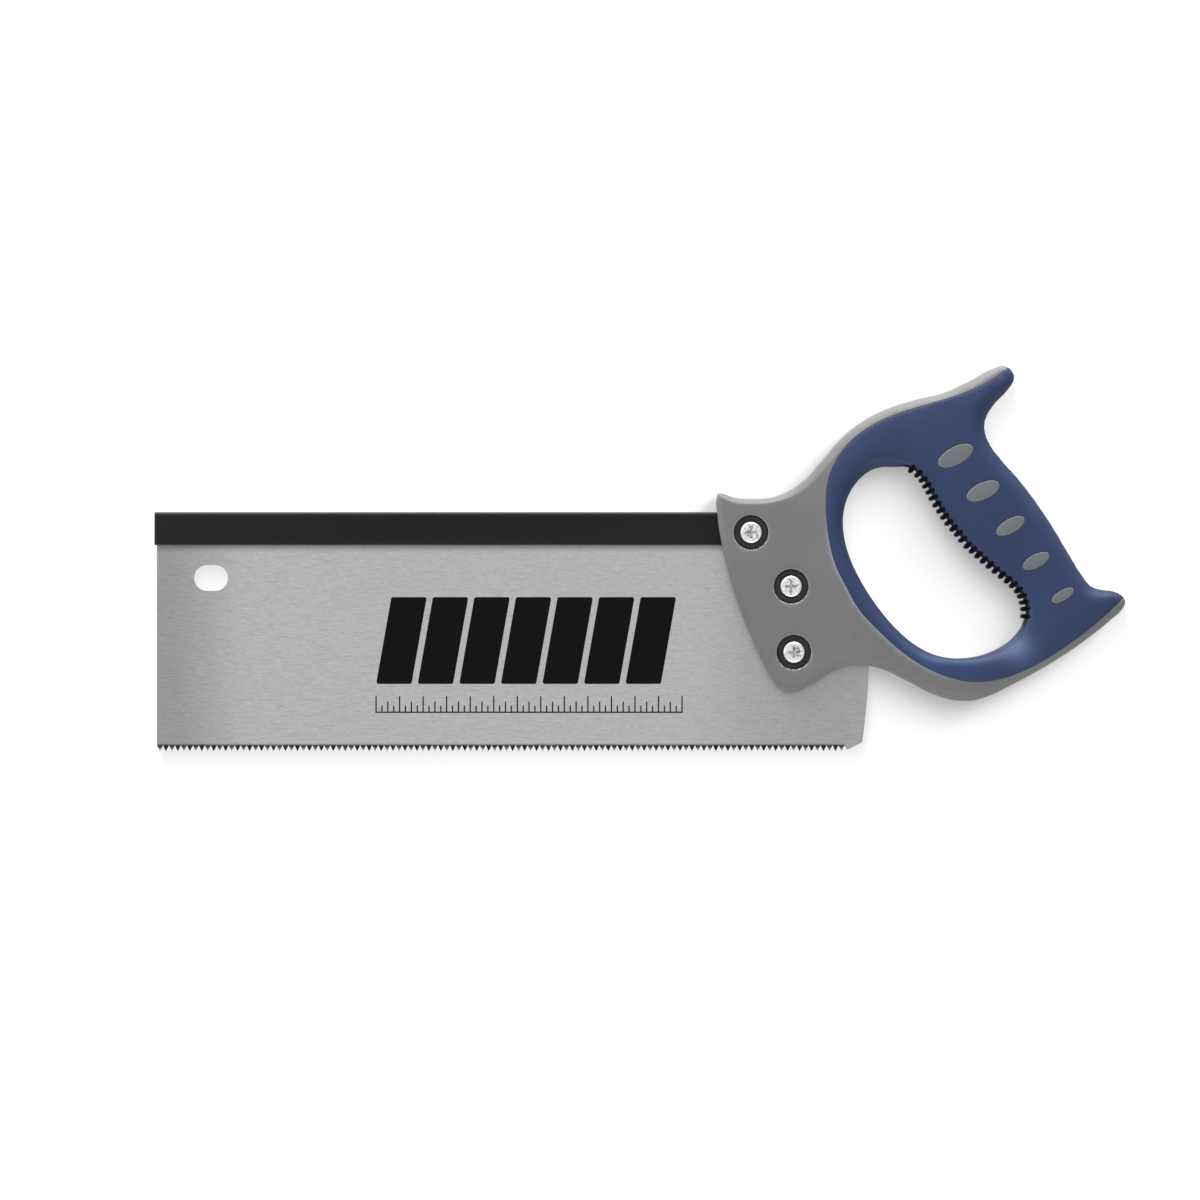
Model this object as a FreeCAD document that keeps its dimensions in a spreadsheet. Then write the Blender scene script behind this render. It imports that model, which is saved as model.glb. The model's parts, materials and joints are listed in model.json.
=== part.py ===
import FreeCAD, Part
import math
import os
import Sketcher
from FreeCAD import Vector

# Back saw (tenon saw): a toothed steel plate stiffened by a folded steel back,
# held in a two-material closed handle by three screws and sleeve nuts.
# Frame: +X from toe to handle, +Z from the teeth to the back, Y through the
# thickness, with the screw heads ("front") on -Y. The origin is on the tooth-tip
# line, at the middle of the nominal blade length, in the plate's mid-plane.
# Millimetres.

doc = FreeCAD.newDocument("back_saw")

# ---------------------------------------------------------------- dimensions
SIZES = {
    # plate
    "toe_reach": 150.0,           # origin to the toe edge of the plate
    "plate_thick": 0.8,
    "plate_top": 100.0,           # top edge of the plate, inside the back
    "heel_start": 142.1,          # where the tooth line ends
    "shoulder_x": 126.0,          # corner between the heel edge and the back
    "shoulder_z": 84.0,
    "plate_corner_run": 1.0,      # small slope at the plate's upper rear corner
    "plate_corner_drop": 0.2,
    "plate_hole": 2.95,           # radius
    # teeth
    "tooth_pitch": 2.54,          # ten teeth per inch
    "tooth_depth": 2.3,
    "tooth_root_gap": 0.14,       # flat at the bottom of each gullet
    "tooth_root_inset": 0.005,    # tooth root inside each face of the plate
    "tooth_tip_width": 0.12,
    "tooth_tip_thick": 0.36,
    "tooth_set": 0.42,            # sideways lean of the middle of each tooth tip
    "teeth_odd": 58.0,
    "teeth_even": 57.0,
    # hanging slot
    "hang_x": -127.0,
    "hang_z": 73.5,
    "hang_half": 1.75,            # half distance between the slot's end centres
    "hang_radius": 5.45,
    # folded back
    "back_overhang": 1.0,         # back stands proud of the plate at the toe
    "back_bottom": 87.5,
    "back_top": 101.5,
    "back_thick": 3.85,
    "back_slot": 0.84,
    "back_roof": 100.1,           # top of the slot in the back
    "back_end": 112.0,
    "back_round": 1.3,
    "back_hem_round": 0.35,
    # handle
    "cheek_width": 21.5,
    "skin_width": 26.0,
    "skeleton_width": 19.0,
    "skeleton_inset": 3.2,        # opening wall to the skeleton's inner line
    "boss_width": 25.4,
    "bond_gap": 0.05,             # between the hard core and the soft skin
    "rib_width": 1.9,
    "rib_height": 2.2,
    "rib_foot": 1.0,              # depth of each rib sunk in the wall
    "rib_span": 21.0,
    # slot and pocket in the handle for the plate and the back
    "slot_gap": 0.03,
    "slot_mouth_x": 70.0,
    "slot_mouth_z": -5.0,
    "slot_heel_run": 10.7,        # past heel_start
    "slot_heel_z": 43.1,
    "slot_shoulder_x": 126.35,
    "slot_shoulder_z": 84.2,
    "slot_end_gap": 1.4,          # past back_end
    "slot_roof_gap": 0.3,         # above plate_top
    "pocket_gap": 0.1,
    "pocket_end_gap": 0.4,        # past back_end
    # screw positions
    "screw_top_x": 102.27, "screw_top_z": 92.84,
    "screw_middle_x": 119.27, "screw_middle_z": 69.98,
    "screw_lower_x": 120.46, "screw_lower_z": 42.07,
    "core_hole": 2.9,             # radius
    "counterbore_radius": 7.4,
    "counterbore_floor": 7.0,     # distance from the mid-plane
    "counterbore_depth": 12.0,
    # washers, screws and sleeve nuts
    "washer_radius": 7.1,
    "washer_low": 7.02,
    "washer_thick": 0.96,
    "washer_bore_front": 2.2,
    "washer_bore_back": 2.95,
    "head_seat": 8.0,
    "head_top": 10.4,
    "head_radius": 4.55,
    "head_round": 0.9,
    "shank_radius": 2.0,
    "shank_end": 4.0,
    "shank_chamfer": 0.5,
    "sleeve_radius": 2.8,
    "sleeve_end": 5.0,
    "sleeve_bore": 2.02,
    "sleeve_bore_end": 6.5,
    "recess_arm": 2.45,
    "recess_half": 0.55,
    "recess_depth": 1.5,
    "through": 60.0,              # length of a cut that passes through everything
}
SCREWS = ("top", "middle", "lower")
RIB_SHARE = 0.33    # largest half width of a rib, as a share of its valley spacing
LONG_EDGE = 200.0   # edges of the back longer than this run its whole length

# Heel edge of the plate, upward: (distance past heel_start, z).
HEEL_EDGE = [(1.2, 0.5), (7.5, 3.7), (8.0, 6.8), (9.6, 21.7), (10.4, 35.7), (10.3, 43.0)]

# ------------------------------------------------- handle outlines, all (x, z)
# Hard shell's outside, from the upper horn tip over the cheek to the lower horn tip.
SHELL_EDGE = [
    (211.47, 162.68), (210.55, 163.17), (209.6, 163.43), (208.64, 163.47), (207.29, 163.27),
    (204.1, 162.06), (193.48, 156.34), (184, 152.12), (172.34, 149.23), (160.76, 145.69),
    (149.98, 140.23), (141.19, 133.44), (133.16, 124.42), (125.14, 115.46), (119.86, 111.42),
    (114.69, 108.86), (109.76, 107.52), (103.04, 107.14), (94.7, 107.77), (91.66, 108.84),
    (89.83, 109.44), (88.91, 109.5), (88.17, 109.04), (87.92, 108.07), (88.13, 99.75),
    (89.94, 87.88), (92.67, 76.12), (96.18, 64.62), (100.42, 53.35), (105.31, 42.33),
    (110.8, 31.53), (113.17, 27.78), (114.45, 26.51), (115.77, 25.65), (117.12, 25.13),
    (118.39, 24.92), (119.94, 24.98), (122.26, 25.56), (127.53, 28.06), (137.32, 34.02),
    (141.78, 35.62), (146.92, 36.41), (152.19, 36.18), (158.08, 34.71), (168.97, 29.59),
    (179.78, 24.13), (186.85, 21.89), (192.6, 21.28), (197.56, 21.72), (202.69, 23.26),
    (213.58, 28.52), (224.19, 34.2), (234.52, 40.47), (244.41, 47.36), (253.83, 54.85),
    (259.53, 60.01), (260.45, 61.4), (260.92, 62.59), (261.03, 63.6), (260.28, 65.22),
]

# Wall of the hand opening, closed, measured at the foot of the finger ribs.
OPENING = [
    (169, 120.66), (163.71, 120.76), (157.09, 120.49), (154.62, 119.8), (151.97, 118.45),
    (149.08, 116.17), (146.11, 112.73), (143.61, 108.37), (142.02, 103.64), (141.3, 98.06),
    (141.76, 91.22), (144.11, 82.4), (149.28, 71.53), (155.86, 61.41), (163.64, 52.16),
    (171.78, 45.2), (177.74, 41.86), (183.5, 40.03), (189.86, 39.31), (196.66, 39.84),
    (203.4, 41.72), (209.12, 44.57), (213.36, 47.83), (216.3, 51.17), (218.26, 54.52),
    (219.17, 57.15), (219.46, 59.3), (219.3, 61.38), (218.57, 64.04), (217.08, 67.03),
    (214.49, 70.36), (205.35, 78.22), (196.39, 86.26), (188.28, 95.25), (181.6, 105.24),
    (175.59, 115.66), (173.3, 118.37), (171.75, 119.6), (170.33, 120.31),
]

# Outer line of the hard skeleton that runs under the soft skin, closed.
SKELETON = [
    (192.47, 22.5), (197.57, 23.02), (203.15, 24.75), (214.05, 30.15), (224.74, 35.92),
    (234.97, 42.21), (244.88, 49.25), (254.29, 56.74), (257.59, 59.71), (258.59, 61.17),
    (258.9, 62.04), (258.58, 62.87), (257.92, 63.49), (256.79, 64.19), (255.31, 64.73),
    (250.47, 65.48), (246.98, 66.45), (245.02, 67.44), (243.33, 68.81), (240.85, 71.89),
    (234.48, 82.08), (228.28, 92.54), (221.71, 102.58), (214.37, 112.28), (206.36, 121.44),
    (200.97, 128.71), (199.1, 132.78), (198.4, 135.76), (198.34, 138.48), (198.89, 141.52),
    (200.15, 144.71), (202.37, 148.14), (208.54, 154.87), (210.08, 157.07), (210.46, 157.95),
    (210.57, 158.86), (210.29, 159.8), (209.71, 160.59), (208.76, 161.56), (207.88, 161.84),
    (206.94, 161.71), (203.98, 160.69), (193.41, 154.9), (183.86, 150.79), (172.2, 147.96),
    (160.76, 144.35), (149.98, 138.78), (142.03, 132.59), (134.05, 123.58), (125.93, 114.55),
    (120.55, 110.43), (114.99, 107.71), (109.33, 106.2), (103.72, 105.85), (94.3, 106.54),
    (93.35, 106.8), (91.79, 107.55), (90.61, 107.87), (89.58, 107.82), (89.08, 107.07),
    (89.07, 105.56), (90.17, 93.58), (92.5, 81.65), (95.76, 69.93), (99.67, 58.58),
    (104.31, 47.34), (109.64, 36.44), (113.63, 29.16), (114.87, 27.83), (115.95, 27.07),
    (117.18, 26.52), (118.51, 26.22), (119.87, 26.2), (121.58, 26.53), (124.64, 27.84),
    (134.38, 33.8), (140.87, 36.59), (145.51, 37.57), (150.42, 37.6), (156.83, 36.35),
    (166.21, 32.47), (176.89, 26.77), (185.41, 23.49), (190.94, 22.55),
]

# Seam between hard shell and soft skin, from the upper horn tip round to the lower one.
SEAM = [
    (211.47, 162.68), (210.67, 162.03), (202.74, 156.45), (191.77, 151.47), (180.23, 147.83),
    (168.69, 144.37), (157.48, 139.97), (148.6, 134.68), (142.9, 129.49), (138.67, 123.78),
    (135.86, 117.87), (134.47, 112.37), (134.11, 102.74), (135.13, 90.77), (137.54, 80.47),
    (142.65, 69.59), (148.36, 59.75), (156.62, 50.83), (165.6, 42.69), (175.62, 35.94),
    (185.38, 31.67), (193.62, 29.84), (200.93, 29.69), (209.57, 31.26), (220.9, 35.67),
    (231.35, 41.7), (241.27, 48.67), (250.65, 56.22), (259.53, 64.49), (260.28, 65.22),
]

# Rear (+X) side of the grip, from the lower horn tip to the upper one,
# where the soft skin is the outside.
GRIP_REAR = [
    (260.28, 65.22), (259.3, 66.17), (257.97, 67), (256.17, 67.67), (250.32, 68.59),
    (248.01, 69.21), (246.75, 69.84), (245.86, 70.55), (242.97, 74.24), (236.58, 84.47),
    (230.44, 94.86), (223.76, 104.89), (216.47, 114.51), (208.52, 123.57), (203.91, 129.61),
    (202.14, 133.33), (201.43, 136.11), (201.33, 138.28), (201.64, 140.29), (202.56, 142.74),
    (204.62, 146.06), (211.18, 153.33), (213.23, 156.22), (213.75, 157.41), (213.94, 158.4),
    (213.86, 159.42), (213.53, 160.32), (212.92, 161.3), (211.47, 162.68),
]

# Valleys between neighbouring finger ribs along the opening wall.
RIB_VALLEYS = [
    (169.11, 121.1), (172.51, 119.18), (174.89, 116.85), (176.59, 114.3), (177.99, 111.75),
    (179.44, 109.2), (180.75, 106.44), (182.49, 103.68), (183.98, 101.13), (185.77, 98.58),
    (187.59, 96.03), (189.72, 93.9), (191.63, 91.44), (193.46, 88.8), (195.79, 86.68),
    (198, 84.73), (200.43, 82.43), (202.68, 80.43), (205.4, 78.18), (207.78, 76.1),
    (210.5, 73.93), (212.87, 72.15), (215.17, 69.68), (217.12, 67.56), (218.23, 64.58),
    (218.82, 62.04), (219.46, 59.06), (218.91, 55.24),
]

# Oval bosses that show through the skin: centre x, z, half length, half width, tilt in degrees.
OVALS = [
    (188.87, 125.26, 8.28, 3.82, 28.0),
    (200.51, 110.35, 7.56, 3.61, 25.0),
    (212.07, 95.52, 6.80, 3.06, 29.6),
    (222.94, 80.69, 6.29, 2.89, 27.5),
    (234.25, 66.12, 5.31, 2.29, 31.0),
]


# --------------------------------------------------------- sizes and binding
class Size:
    """A number that also carries the spreadsheet expression it comes from."""

    def __init__(self, value, text):
        self.value = float(value)
        self.text = text

    def __float__(self):
        return self.value

    def __neg__(self):
        return Size(-self.value, "(-%s)" % self.text)

    def __add__(self, other):
        return self.joined("+", other, self.value + float(other))

    def __sub__(self, other):
        return self.joined("-", other, self.value - float(other))

    def __mul__(self, other):
        return self.joined("*", other, self.value * float(other))

    def __truediv__(self, other):
        return self.joined("/", other, self.value / float(other))

    __rmul__ = __mul__

    def joined(self, sign, other, value):
        return Size(value, "(%s %s %s)" % (self.text, sign, expression(other)))


def expression(size):
    """Text for setExpression, of a Size or a plain number."""
    return size.text if isinstance(size, Size) else repr(size)


class Dimensions:
    """Gives dim.alias as a Size that refers to the sheet's cell."""

    def __getattr__(self, alias):
        return Size(SIZES[alias], "Dimensions." + alias)


dim = Dimensions()
sheet = doc.addObject("Spreadsheet::Sheet", "Dimensions")
for row, (alias, value) in enumerate(SIZES.items(), start=1):
    sheet.set("A%d" % row, alias)
    sheet.set("B%d" % row, repr(value))
    sheet.setAlias("B%d" % row, alias)
doc.recompute()


def set_size(obj, prop, size):
    setattr(obj, prop, float(size))
    obj.setExpression(prop, expression(size))


def bind(sketch, kind, size, *where):
    """Add a dimensional constraint; where is a geometry index and perhaps a point."""
    index = sketch.addConstraint(Sketcher.Constraint(kind, *where, float(size)))
    sketch.setExpression("Constraints[%d]" % index, expression(size))


def pin(sketch, geometry, point, x, y):
    bind(sketch, "DistanceX", x, geometry, point)
    bind(sketch, "DistanceY", y, geometry, point)


def screw_place(which):
    return getattr(dim, "screw_%s_x" % which), getattr(dim, "screw_%s_z" % which)


# ------------------------------------------------------------------ sketches
def new_body(label):
    return doc.addObject("PartDesign::Body", label)


def origin_item(body, role):
    return next(item for item in body.Origin.OriginFeatures if item.Role == role)


def new_sketch(body, name, role="XZ_Plane", offset=None):
    """Sketch on an origin plane; on XZ_Plane a positive offset goes towards -Y."""
    sketch = body.newObject("Sketcher::SketchObject", name)
    sketch.AttachmentSupport = (origin_item(body, role), [""])
    sketch.MapMode = "FlatFace"
    if offset is not None:
        sketch.AttachmentOffset = FreeCAD.Placement(Vector(0, 0, float(offset)),
                                                    FreeCAD.Rotation())
        sketch.setExpression("AttachmentOffset.Base.z", expression(offset))
    return sketch


def polygon(sketch, corners):
    """Closed straight-sided profile; every corner is bound to the sheet."""
    points = [Vector(float(x), float(y), 0) for x, y in corners]
    count = len(points)
    for i in range(count):
        sketch.addGeometry(Part.LineSegment(points[i], points[(i + 1) % count]), False)
    for i in range(count):
        sketch.addConstraint(Sketcher.Constraint("Coincident", i, 2, (i + 1) % count, 1))
    for i, (x, y) in enumerate(corners):
        pin(sketch, i, 1, x, y)


def rectangle(sketch, left, right, bottom, top):
    polygon(sketch, [(left, bottom), (right, bottom), (right, top), (left, top)])


def circle(sketch, x, y, radius):
    shape = Part.Circle(Vector(float(x), float(y), 0), Vector(0, 0, 1), float(radius))
    index = sketch.addGeometry(shape, False)
    bind(sketch, "Radius", radius, index)
    pin(sketch, index, 3, x, y)


def screw_circles(sketch, radius):
    for which in SCREWS:
        circle(sketch, *screw_place(which), radius)


# -------------------------------------------------------------- smooth lines
def vectors(points):
    return [Vector(*point) for point in points]


def left_of(way):
    return Vector(-way.y, way.x, 0)


def mirrored(way, chord):
    """Direction at the far end of an arc that leaves along way over the chord."""
    return chord * (2 * way.dot(chord) / chord.dot(chord)) - way


def tangents(points, closed):
    """Direction at every point: that of the circle through it and its neighbours."""
    count = len(points)
    ways = []
    for i in range(count) if closed else range(1, count - 1):
        before = points[i] - points[i - 1]
        after = points[(i + 1) % count] - points[i]
        ratio = after.Length / before.Length
        ways.append((before * ratio + after * (1 / ratio)).normalize())
    if closed:
        return ways
    first = mirrored(ways[0], points[1] - points[0])
    last = mirrored(ways[-1], points[-1] - points[-2])
    return [first] + ways + [last]


def arc_or_line(start, way, end):
    """Edge from start to end that leaves along way: an arc, or a line when it is flat."""
    chord = end - start
    normal = left_of(way)
    side = normal.dot(chord)
    if abs(side) < 1e-4 * chord.Length:
        return Part.LineSegment(start, end)
    radius = chord.dot(chord) / (2 * side)
    centre = start + normal * radius
    outward = ((start + end) * 0.5 - centre).normalize()
    return Part.Arc(start, centre + outward * abs(radius), end)


def smooth_line(sketch, points, closed):
    """Draw a tangent chain of arcs through the points, two arcs to a span."""
    points = vectors(points)
    ways = tangents(points, closed)
    if closed:
        points = points + points[:1]
        ways = ways + ways[:1]
    for start, end, leave, arrive in zip(points, points[1:], ways, ways[1:]):
        chord = end - start
        square = chord.dot(chord)
        along = chord.dot(leave + arrive)
        bend = 1 - leave.dot(arrive)
        # Equal tangent length that makes the two arcs meet smoothly.
        if bend < 1e-9:
            reach = square / (2 * along)
        else:
            reach = (math.sqrt(along * along + 2 * bend * square) - along) / (2 * bend)
        joint = (start + end + (leave - arrive) * reach) * 0.5
        sketch.addGeometry(arc_or_line(start, leave, joint), False)
        sketch.addGeometry(arc_or_line(joint, mirrored(leave, joint - start), end), False)


def shifted(points, distance, closed):
    """The same line moved sideways, to the right of its direction of travel."""
    points = vectors(points)
    if closed:
        around = points[-1:] + points + points[:1]
    else:
        around = points[:1] + points + points[-1:]
    moved = []
    for before, point, after in zip(around, points, around[2:]):
        way = (after - before).normalize()
        moved.append(point - left_of(way) * float(distance))
    return moved


def grown(points, distance):
    """A closed line moved outward, whichever way round it runs."""
    points = vectors(points)
    area = sum(points[i - 1].cross(points[i]).z for i in range(len(points)))
    return shifted(points, distance if area > 0 else -distance, True)


# ------------------------------------------------------------------ features
def feature(body, kind, name, sketch):
    result = body.newObject("PartDesign::" + kind, name)
    result.Profile = sketch
    sketch.Visibility = False
    return result


def extrude(body, kind, name, sketch, length, symmetric=True, backward=False):
    """Pad or Pocket; a one-sided one may be turned backward."""
    result = feature(body, kind, name, sketch)
    if symmetric:
        result.SideType = "Symmetric"
    set_size(result, "Length", length)
    result.Reversed = backward
    return result


def edge_names(shape, wanted):
    """Names of the edges whose bounding box is wanted."""
    return ["Edge%d" % i for i, edge in enumerate(shape.Edges, start=1)
            if wanted(edge.BoundBox)]


def fillet(body, name, base, edges, radius):
    result = body.newObject("PartDesign::Fillet", name)
    result.Base = (base, edges)
    set_size(result, "Radius", radius)
    doc.recompute()
    return result


def near(one, other, tolerance=1e-6):
    return abs(one - other) < tolerance


# --------------------------------------------------------------------- blade
def make_tooth(body, row_name, start, lean):
    """First tooth of a row: from its root at the plate to a tip leaning sideways."""
    root = new_sketch(body, "tooth_root_" + row_name, "XY_Plane", dim.tooth_depth)
    rectangle(root,
              start + dim.tooth_root_gap / 2,
              start + dim.tooth_pitch - dim.tooth_root_gap / 2,
              -dim.plate_thick / 2 + dim.tooth_root_inset,
              dim.plate_thick / 2 - dim.tooth_root_inset)
    tip = new_sketch(body, "tooth_tip_" + row_name, "XY_Plane")
    middle = start + dim.tooth_pitch / 2
    rectangle(tip,
              middle - dim.tooth_tip_width / 2,
              middle + dim.tooth_tip_width / 2,
              lean - dim.tooth_tip_thick / 2,
              lean + dim.tooth_tip_thick / 2)
    tooth = body.newObject("PartDesign::AdditiveLoft", "tooth_" + row_name)
    tooth.Profile = root
    tooth.Sections = [tip]
    tooth.Ruled = True
    return tooth


def make_tooth_row(body, row_name, tooth, count):
    teeth = body.newObject("PartDesign::LinearPattern", "teeth_%s_row" % row_name)
    teeth.Originals = [tooth]
    teeth.Direction = (origin_item(body, "X_Axis"), [""])
    teeth.Mode = "Extent"
    set_size(teeth, "Length", 2 * dim.tooth_pitch * (count - 1))
    teeth.Occurrences = int(float(count))
    teeth.setExpression("Occurrences", expression(count))
    body.Tip = teeth
    doc.recompute()


def cut_hanging_slot(body):
    """Two half circles joined by two straight sides."""
    sketch = new_sketch(body, "hang_slot_outline")
    radius = float(dim.hang_radius)
    x_left = float(dim.hang_x - dim.hang_half)
    x_right = float(dim.hang_x + dim.hang_half)
    z_middle = float(dim.hang_z)
    z_low = z_middle - radius
    z_high = z_middle + radius

    def half_circle(x, start):
        full = Part.Circle(Vector(x, z_middle, 0), Vector(0, 0, 1), radius)
        return sketch.addGeometry(Part.ArcOfCircle(full, start, start + math.pi), False)

    def side(x_from, x_to, z):
        line = Part.LineSegment(Vector(x_from, z, 0), Vector(x_to, z, 0))
        return sketch.addGeometry(line, False)

    left = half_circle(x_left, math.pi / 2)
    right = half_circle(x_right, -math.pi / 2)
    low = side(x_left, x_right, z_low)
    high = side(x_right, x_left, z_high)
    for one, following in ((left, low), (low, right), (right, high), (high, left)):
        sketch.addConstraint(Sketcher.Constraint("Tangent", one, 2, following, 1))
    bind(sketch, "Radius", dim.hang_radius, left)
    pin(sketch, left, 3, dim.hang_x - dim.hang_half, dim.hang_z)
    pin(sketch, right, 3, dim.hang_x + dim.hang_half, dim.hang_z)
    extrude(body, "Pocket", "hang_slot", sketch, dim.through)


def make_blade():
    body = new_body("blade")
    sketch = new_sketch(body, "plate_outline")
    polygon(sketch, [
        (-dim.toe_reach, dim.tooth_depth),
        (dim.heel_start, dim.tooth_depth),
    ] + [(dim.heel_start + past, z) for past, z in HEEL_EDGE] + [
        (dim.shoulder_x, dim.shoulder_z),
        (dim.back_end + dim.plate_corner_run, dim.plate_top - dim.plate_corner_drop),
        (dim.back_end, dim.plate_top),
        (-dim.toe_reach, dim.plate_top),
    ])
    extrude(body, "Pad", "plate", sketch, dim.plate_thick)

    # Odd teeth lean to +Y, even teeth to -Y.
    odd = make_tooth(body, "odd", -dim.toe_reach, dim.tooth_set)
    even = make_tooth(body, "even", -dim.toe_reach + dim.tooth_pitch, -dim.tooth_set)
    doc.recompute()
    make_tooth_row(body, "odd", odd, dim.teeth_odd)
    make_tooth_row(body, "even", even, dim.teeth_even)

    cut_hanging_slot(body)
    sketch = new_sketch(body, "plate_hole_circles")
    screw_circles(sketch, dim.plate_hole)
    extrude(body, "Pocket", "plate_holes", sketch, dim.through)
    doc.recompute()
    return body


# --------------------------------------------------------------------- spine
def long_outer_edges(shape, level):
    """Edges along the whole back, on its two outer faces at the height level."""
    return edge_names(shape, lambda box: (
        box.XLength > LONG_EDGE
        and near(box.ZMin, float(level))
        and near(box.ZMax, float(level))
        and near(abs(box.YMin), float(dim.back_thick / 2))))


def make_spine():
    """Folded back: a channel open downward over the plate's top edge."""
    body = new_body("spine")
    sketch = new_sketch(body, "channel_section", "YZ_Plane",
                        -(dim.toe_reach + dim.back_overhang))
    outer = dim.back_thick / 2
    inner = dim.back_slot / 2
    polygon(sketch, [
        (-outer, dim.back_bottom), (-inner, dim.back_bottom),
        (-inner, dim.back_roof), (inner, dim.back_roof),
        (inner, dim.back_bottom), (outer, dim.back_bottom),
        (outer, dim.back_top), (-outer, dim.back_top),
    ])
    channel = extrude(body, "Pad", "channel", sketch,
                      dim.toe_reach + dim.back_overhang + dim.back_end, symmetric=False)
    doc.recompute()
    fold = fillet(body, "fold_round", channel,
                  long_outer_edges(channel.Shape, dim.back_top), dim.back_round)
    fillet(body, "hem_round", fold,
           long_outer_edges(fold.Shape, dim.back_bottom), dim.back_hem_round)
    sketch = new_sketch(body, "back_hole_circle")
    circle(sketch, *screw_place("top"), dim.plate_hole)
    extrude(body, "Pocket", "back_hole", sketch, dim.through)
    doc.recompute()
    return body


# -------------------------------------------------------------------- handle
def ovals(sketch, extra):
    """The oval bosses' outlines, larger by extra all round."""
    for x, z, half_length, half_width, tilt in OVALS:
        angle = math.radians(tilt)
        centre = Vector(x, z, 0)
        along = Vector(math.cos(angle), math.sin(angle), 0)
        sketch.addGeometry(Part.Ellipse(centre + along * (half_length + extra),
                                        centre + left_of(along) * (half_width + extra),
                                        centre), False)


def make_handle_core():
    """Hard part of the handle: cheek shell, skeleton under the skin, oval bosses."""
    body = new_body("handle_core")
    sketch = new_sketch(body, "shell_outline")
    smooth_line(sketch, SHELL_EDGE, False)
    smooth_line(sketch, SEAM, False)
    extrude(body, "Pad", "shell", sketch, dim.cheek_width)
    doc.recompute()

    sketch = new_sketch(body, "skeleton_outline")
    smooth_line(sketch, SKELETON, True)
    smooth_line(sketch, grown(OPENING, dim.skeleton_inset), True)
    extrude(body, "Pad", "skeleton", sketch, dim.skeleton_width)

    sketch = new_sketch(body, "boss_ovals")
    ovals(sketch, 0.0)
    extrude(body, "Pad", "bosses", sketch, dim.boss_width)
    doc.recompute()

    sketch = new_sketch(body, "plate_slot_outline")
    heel = dim.heel_start + dim.slot_heel_run
    roof = dim.plate_top + dim.slot_roof_gap
    polygon(sketch, [
        (dim.slot_mouth_x, dim.slot_mouth_z),
        (heel, dim.slot_mouth_z),
        (heel, dim.slot_heel_z),
        (dim.slot_shoulder_x, dim.slot_shoulder_z),
        (dim.back_end + dim.slot_end_gap, roof),
        (dim.slot_mouth_x, roof),
    ])
    extrude(body, "Pocket", "plate_slot", sketch, dim.plate_thick + 2 * dim.slot_gap)

    sketch = new_sketch(body, "back_pocket_outline")
    rectangle(sketch,
              dim.slot_mouth_x, dim.back_end + dim.pocket_end_gap,
              dim.back_bottom - dim.pocket_gap, dim.back_top + dim.pocket_gap)
    extrude(body, "Pocket", "back_pocket", sketch, dim.back_thick + 2 * dim.slot_gap)

    sketch = new_sketch(body, "core_hole_circles")
    screw_circles(sketch, dim.core_hole)
    extrude(body, "Pocket", "core_holes", sketch, dim.through)
    doc.recompute()

    # Counterbores run outward from their floors.
    for side, floor in (("front", dim.counterbore_floor), ("rear", -dim.counterbore_floor)):
        sketch = new_sketch(body, "counterbore_%s_circles" % side, offset=floor)
        screw_circles(sketch, dim.counterbore_radius)
        extrude(body, "Pocket", "counterbores_" + side, sketch, dim.counterbore_depth,
                symmetric=False, backward=side == "front")
        doc.recompute()
    return body


def draw_ribs(sketch):
    """One rib between each pair of valleys, square to the wall, round-ended."""
    wall = vectors(OPENING)
    middle = sum(wall, Vector()) * (1 / len(wall))
    valleys = vectors(RIB_VALLEYS)
    foot = float(dim.rib_foot)
    height = float(dim.rib_height)
    for start, end in zip(valleys, valleys[1:]):
        centre = (start + end) * 0.5
        half = min(float(dim.rib_width / 2), (end - start).Length * RIB_SHARE)
        along = (end - start).normalize()
        inward = left_of(along)
        if inward.dot(middle - centre) < 0:
            inward = inward * -1
        side = along * half
        base = centre - inward * foot
        neck = centre + inward * (height - half)
        tip = centre + inward * height
        sketch.addGeometry(Part.LineSegment(base - side, neck - side), False)
        sketch.addGeometry(Part.Arc(neck - side, tip, neck + side), False)
        sketch.addGeometry(Part.LineSegment(neck + side, base + side), False)
        sketch.addGeometry(Part.LineSegment(base + side, base - side), False)


def make_grip():
    """Soft skin round the skeleton, with windows for the bosses and finger ribs."""
    body = new_body("grip_overmould")
    sketch = new_sketch(body, "skin_outline")
    bond = shifted(SEAM, -dim.bond_gap, False)
    smooth_line(sketch, bond, False)
    smooth_line(sketch, [bond[-1]] + GRIP_REAR[1:-1] + [bond[0]], False)
    smooth_line(sketch, OPENING, True)
    extrude(body, "Pad", "skin", sketch, dim.skin_width)

    sketch = new_sketch(body, "skeleton_bed_outline")
    smooth_line(sketch, grown(SKELETON, dim.bond_gap), True)
    smooth_line(sketch, grown(OPENING, dim.skeleton_inset - dim.bond_gap), True)
    extrude(body, "Pocket", "skeleton_bed", sketch, dim.skeleton_width + 2 * dim.bond_gap)

    sketch = new_sketch(body, "window_ovals")
    ovals(sketch, float(dim.bond_gap))
    extrude(body, "Pocket", "windows", sketch, dim.through)
    doc.recompute()

    sketch = new_sketch(body, "rib_outlines")
    draw_ribs(sketch)
    extrude(body, "Pad", "ribs", sketch, dim.rib_span)
    doc.recompute()
    return body


# ------------------------------------------------------------------ hardware
def turn(body, corners):
    """Revolve a section round the body's Y axis."""
    sketch = new_sketch(body, "%s_section" % body.Label, "XY_Plane")
    polygon(sketch, corners)
    turned = feature(body, "Revolution", "%s_turned" % body.Label, sketch)
    turned.ReferenceAxis = (sketch, ["V_Axis"])
    turned.Angle = 360.0
    doc.recompute()
    return turned


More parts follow.
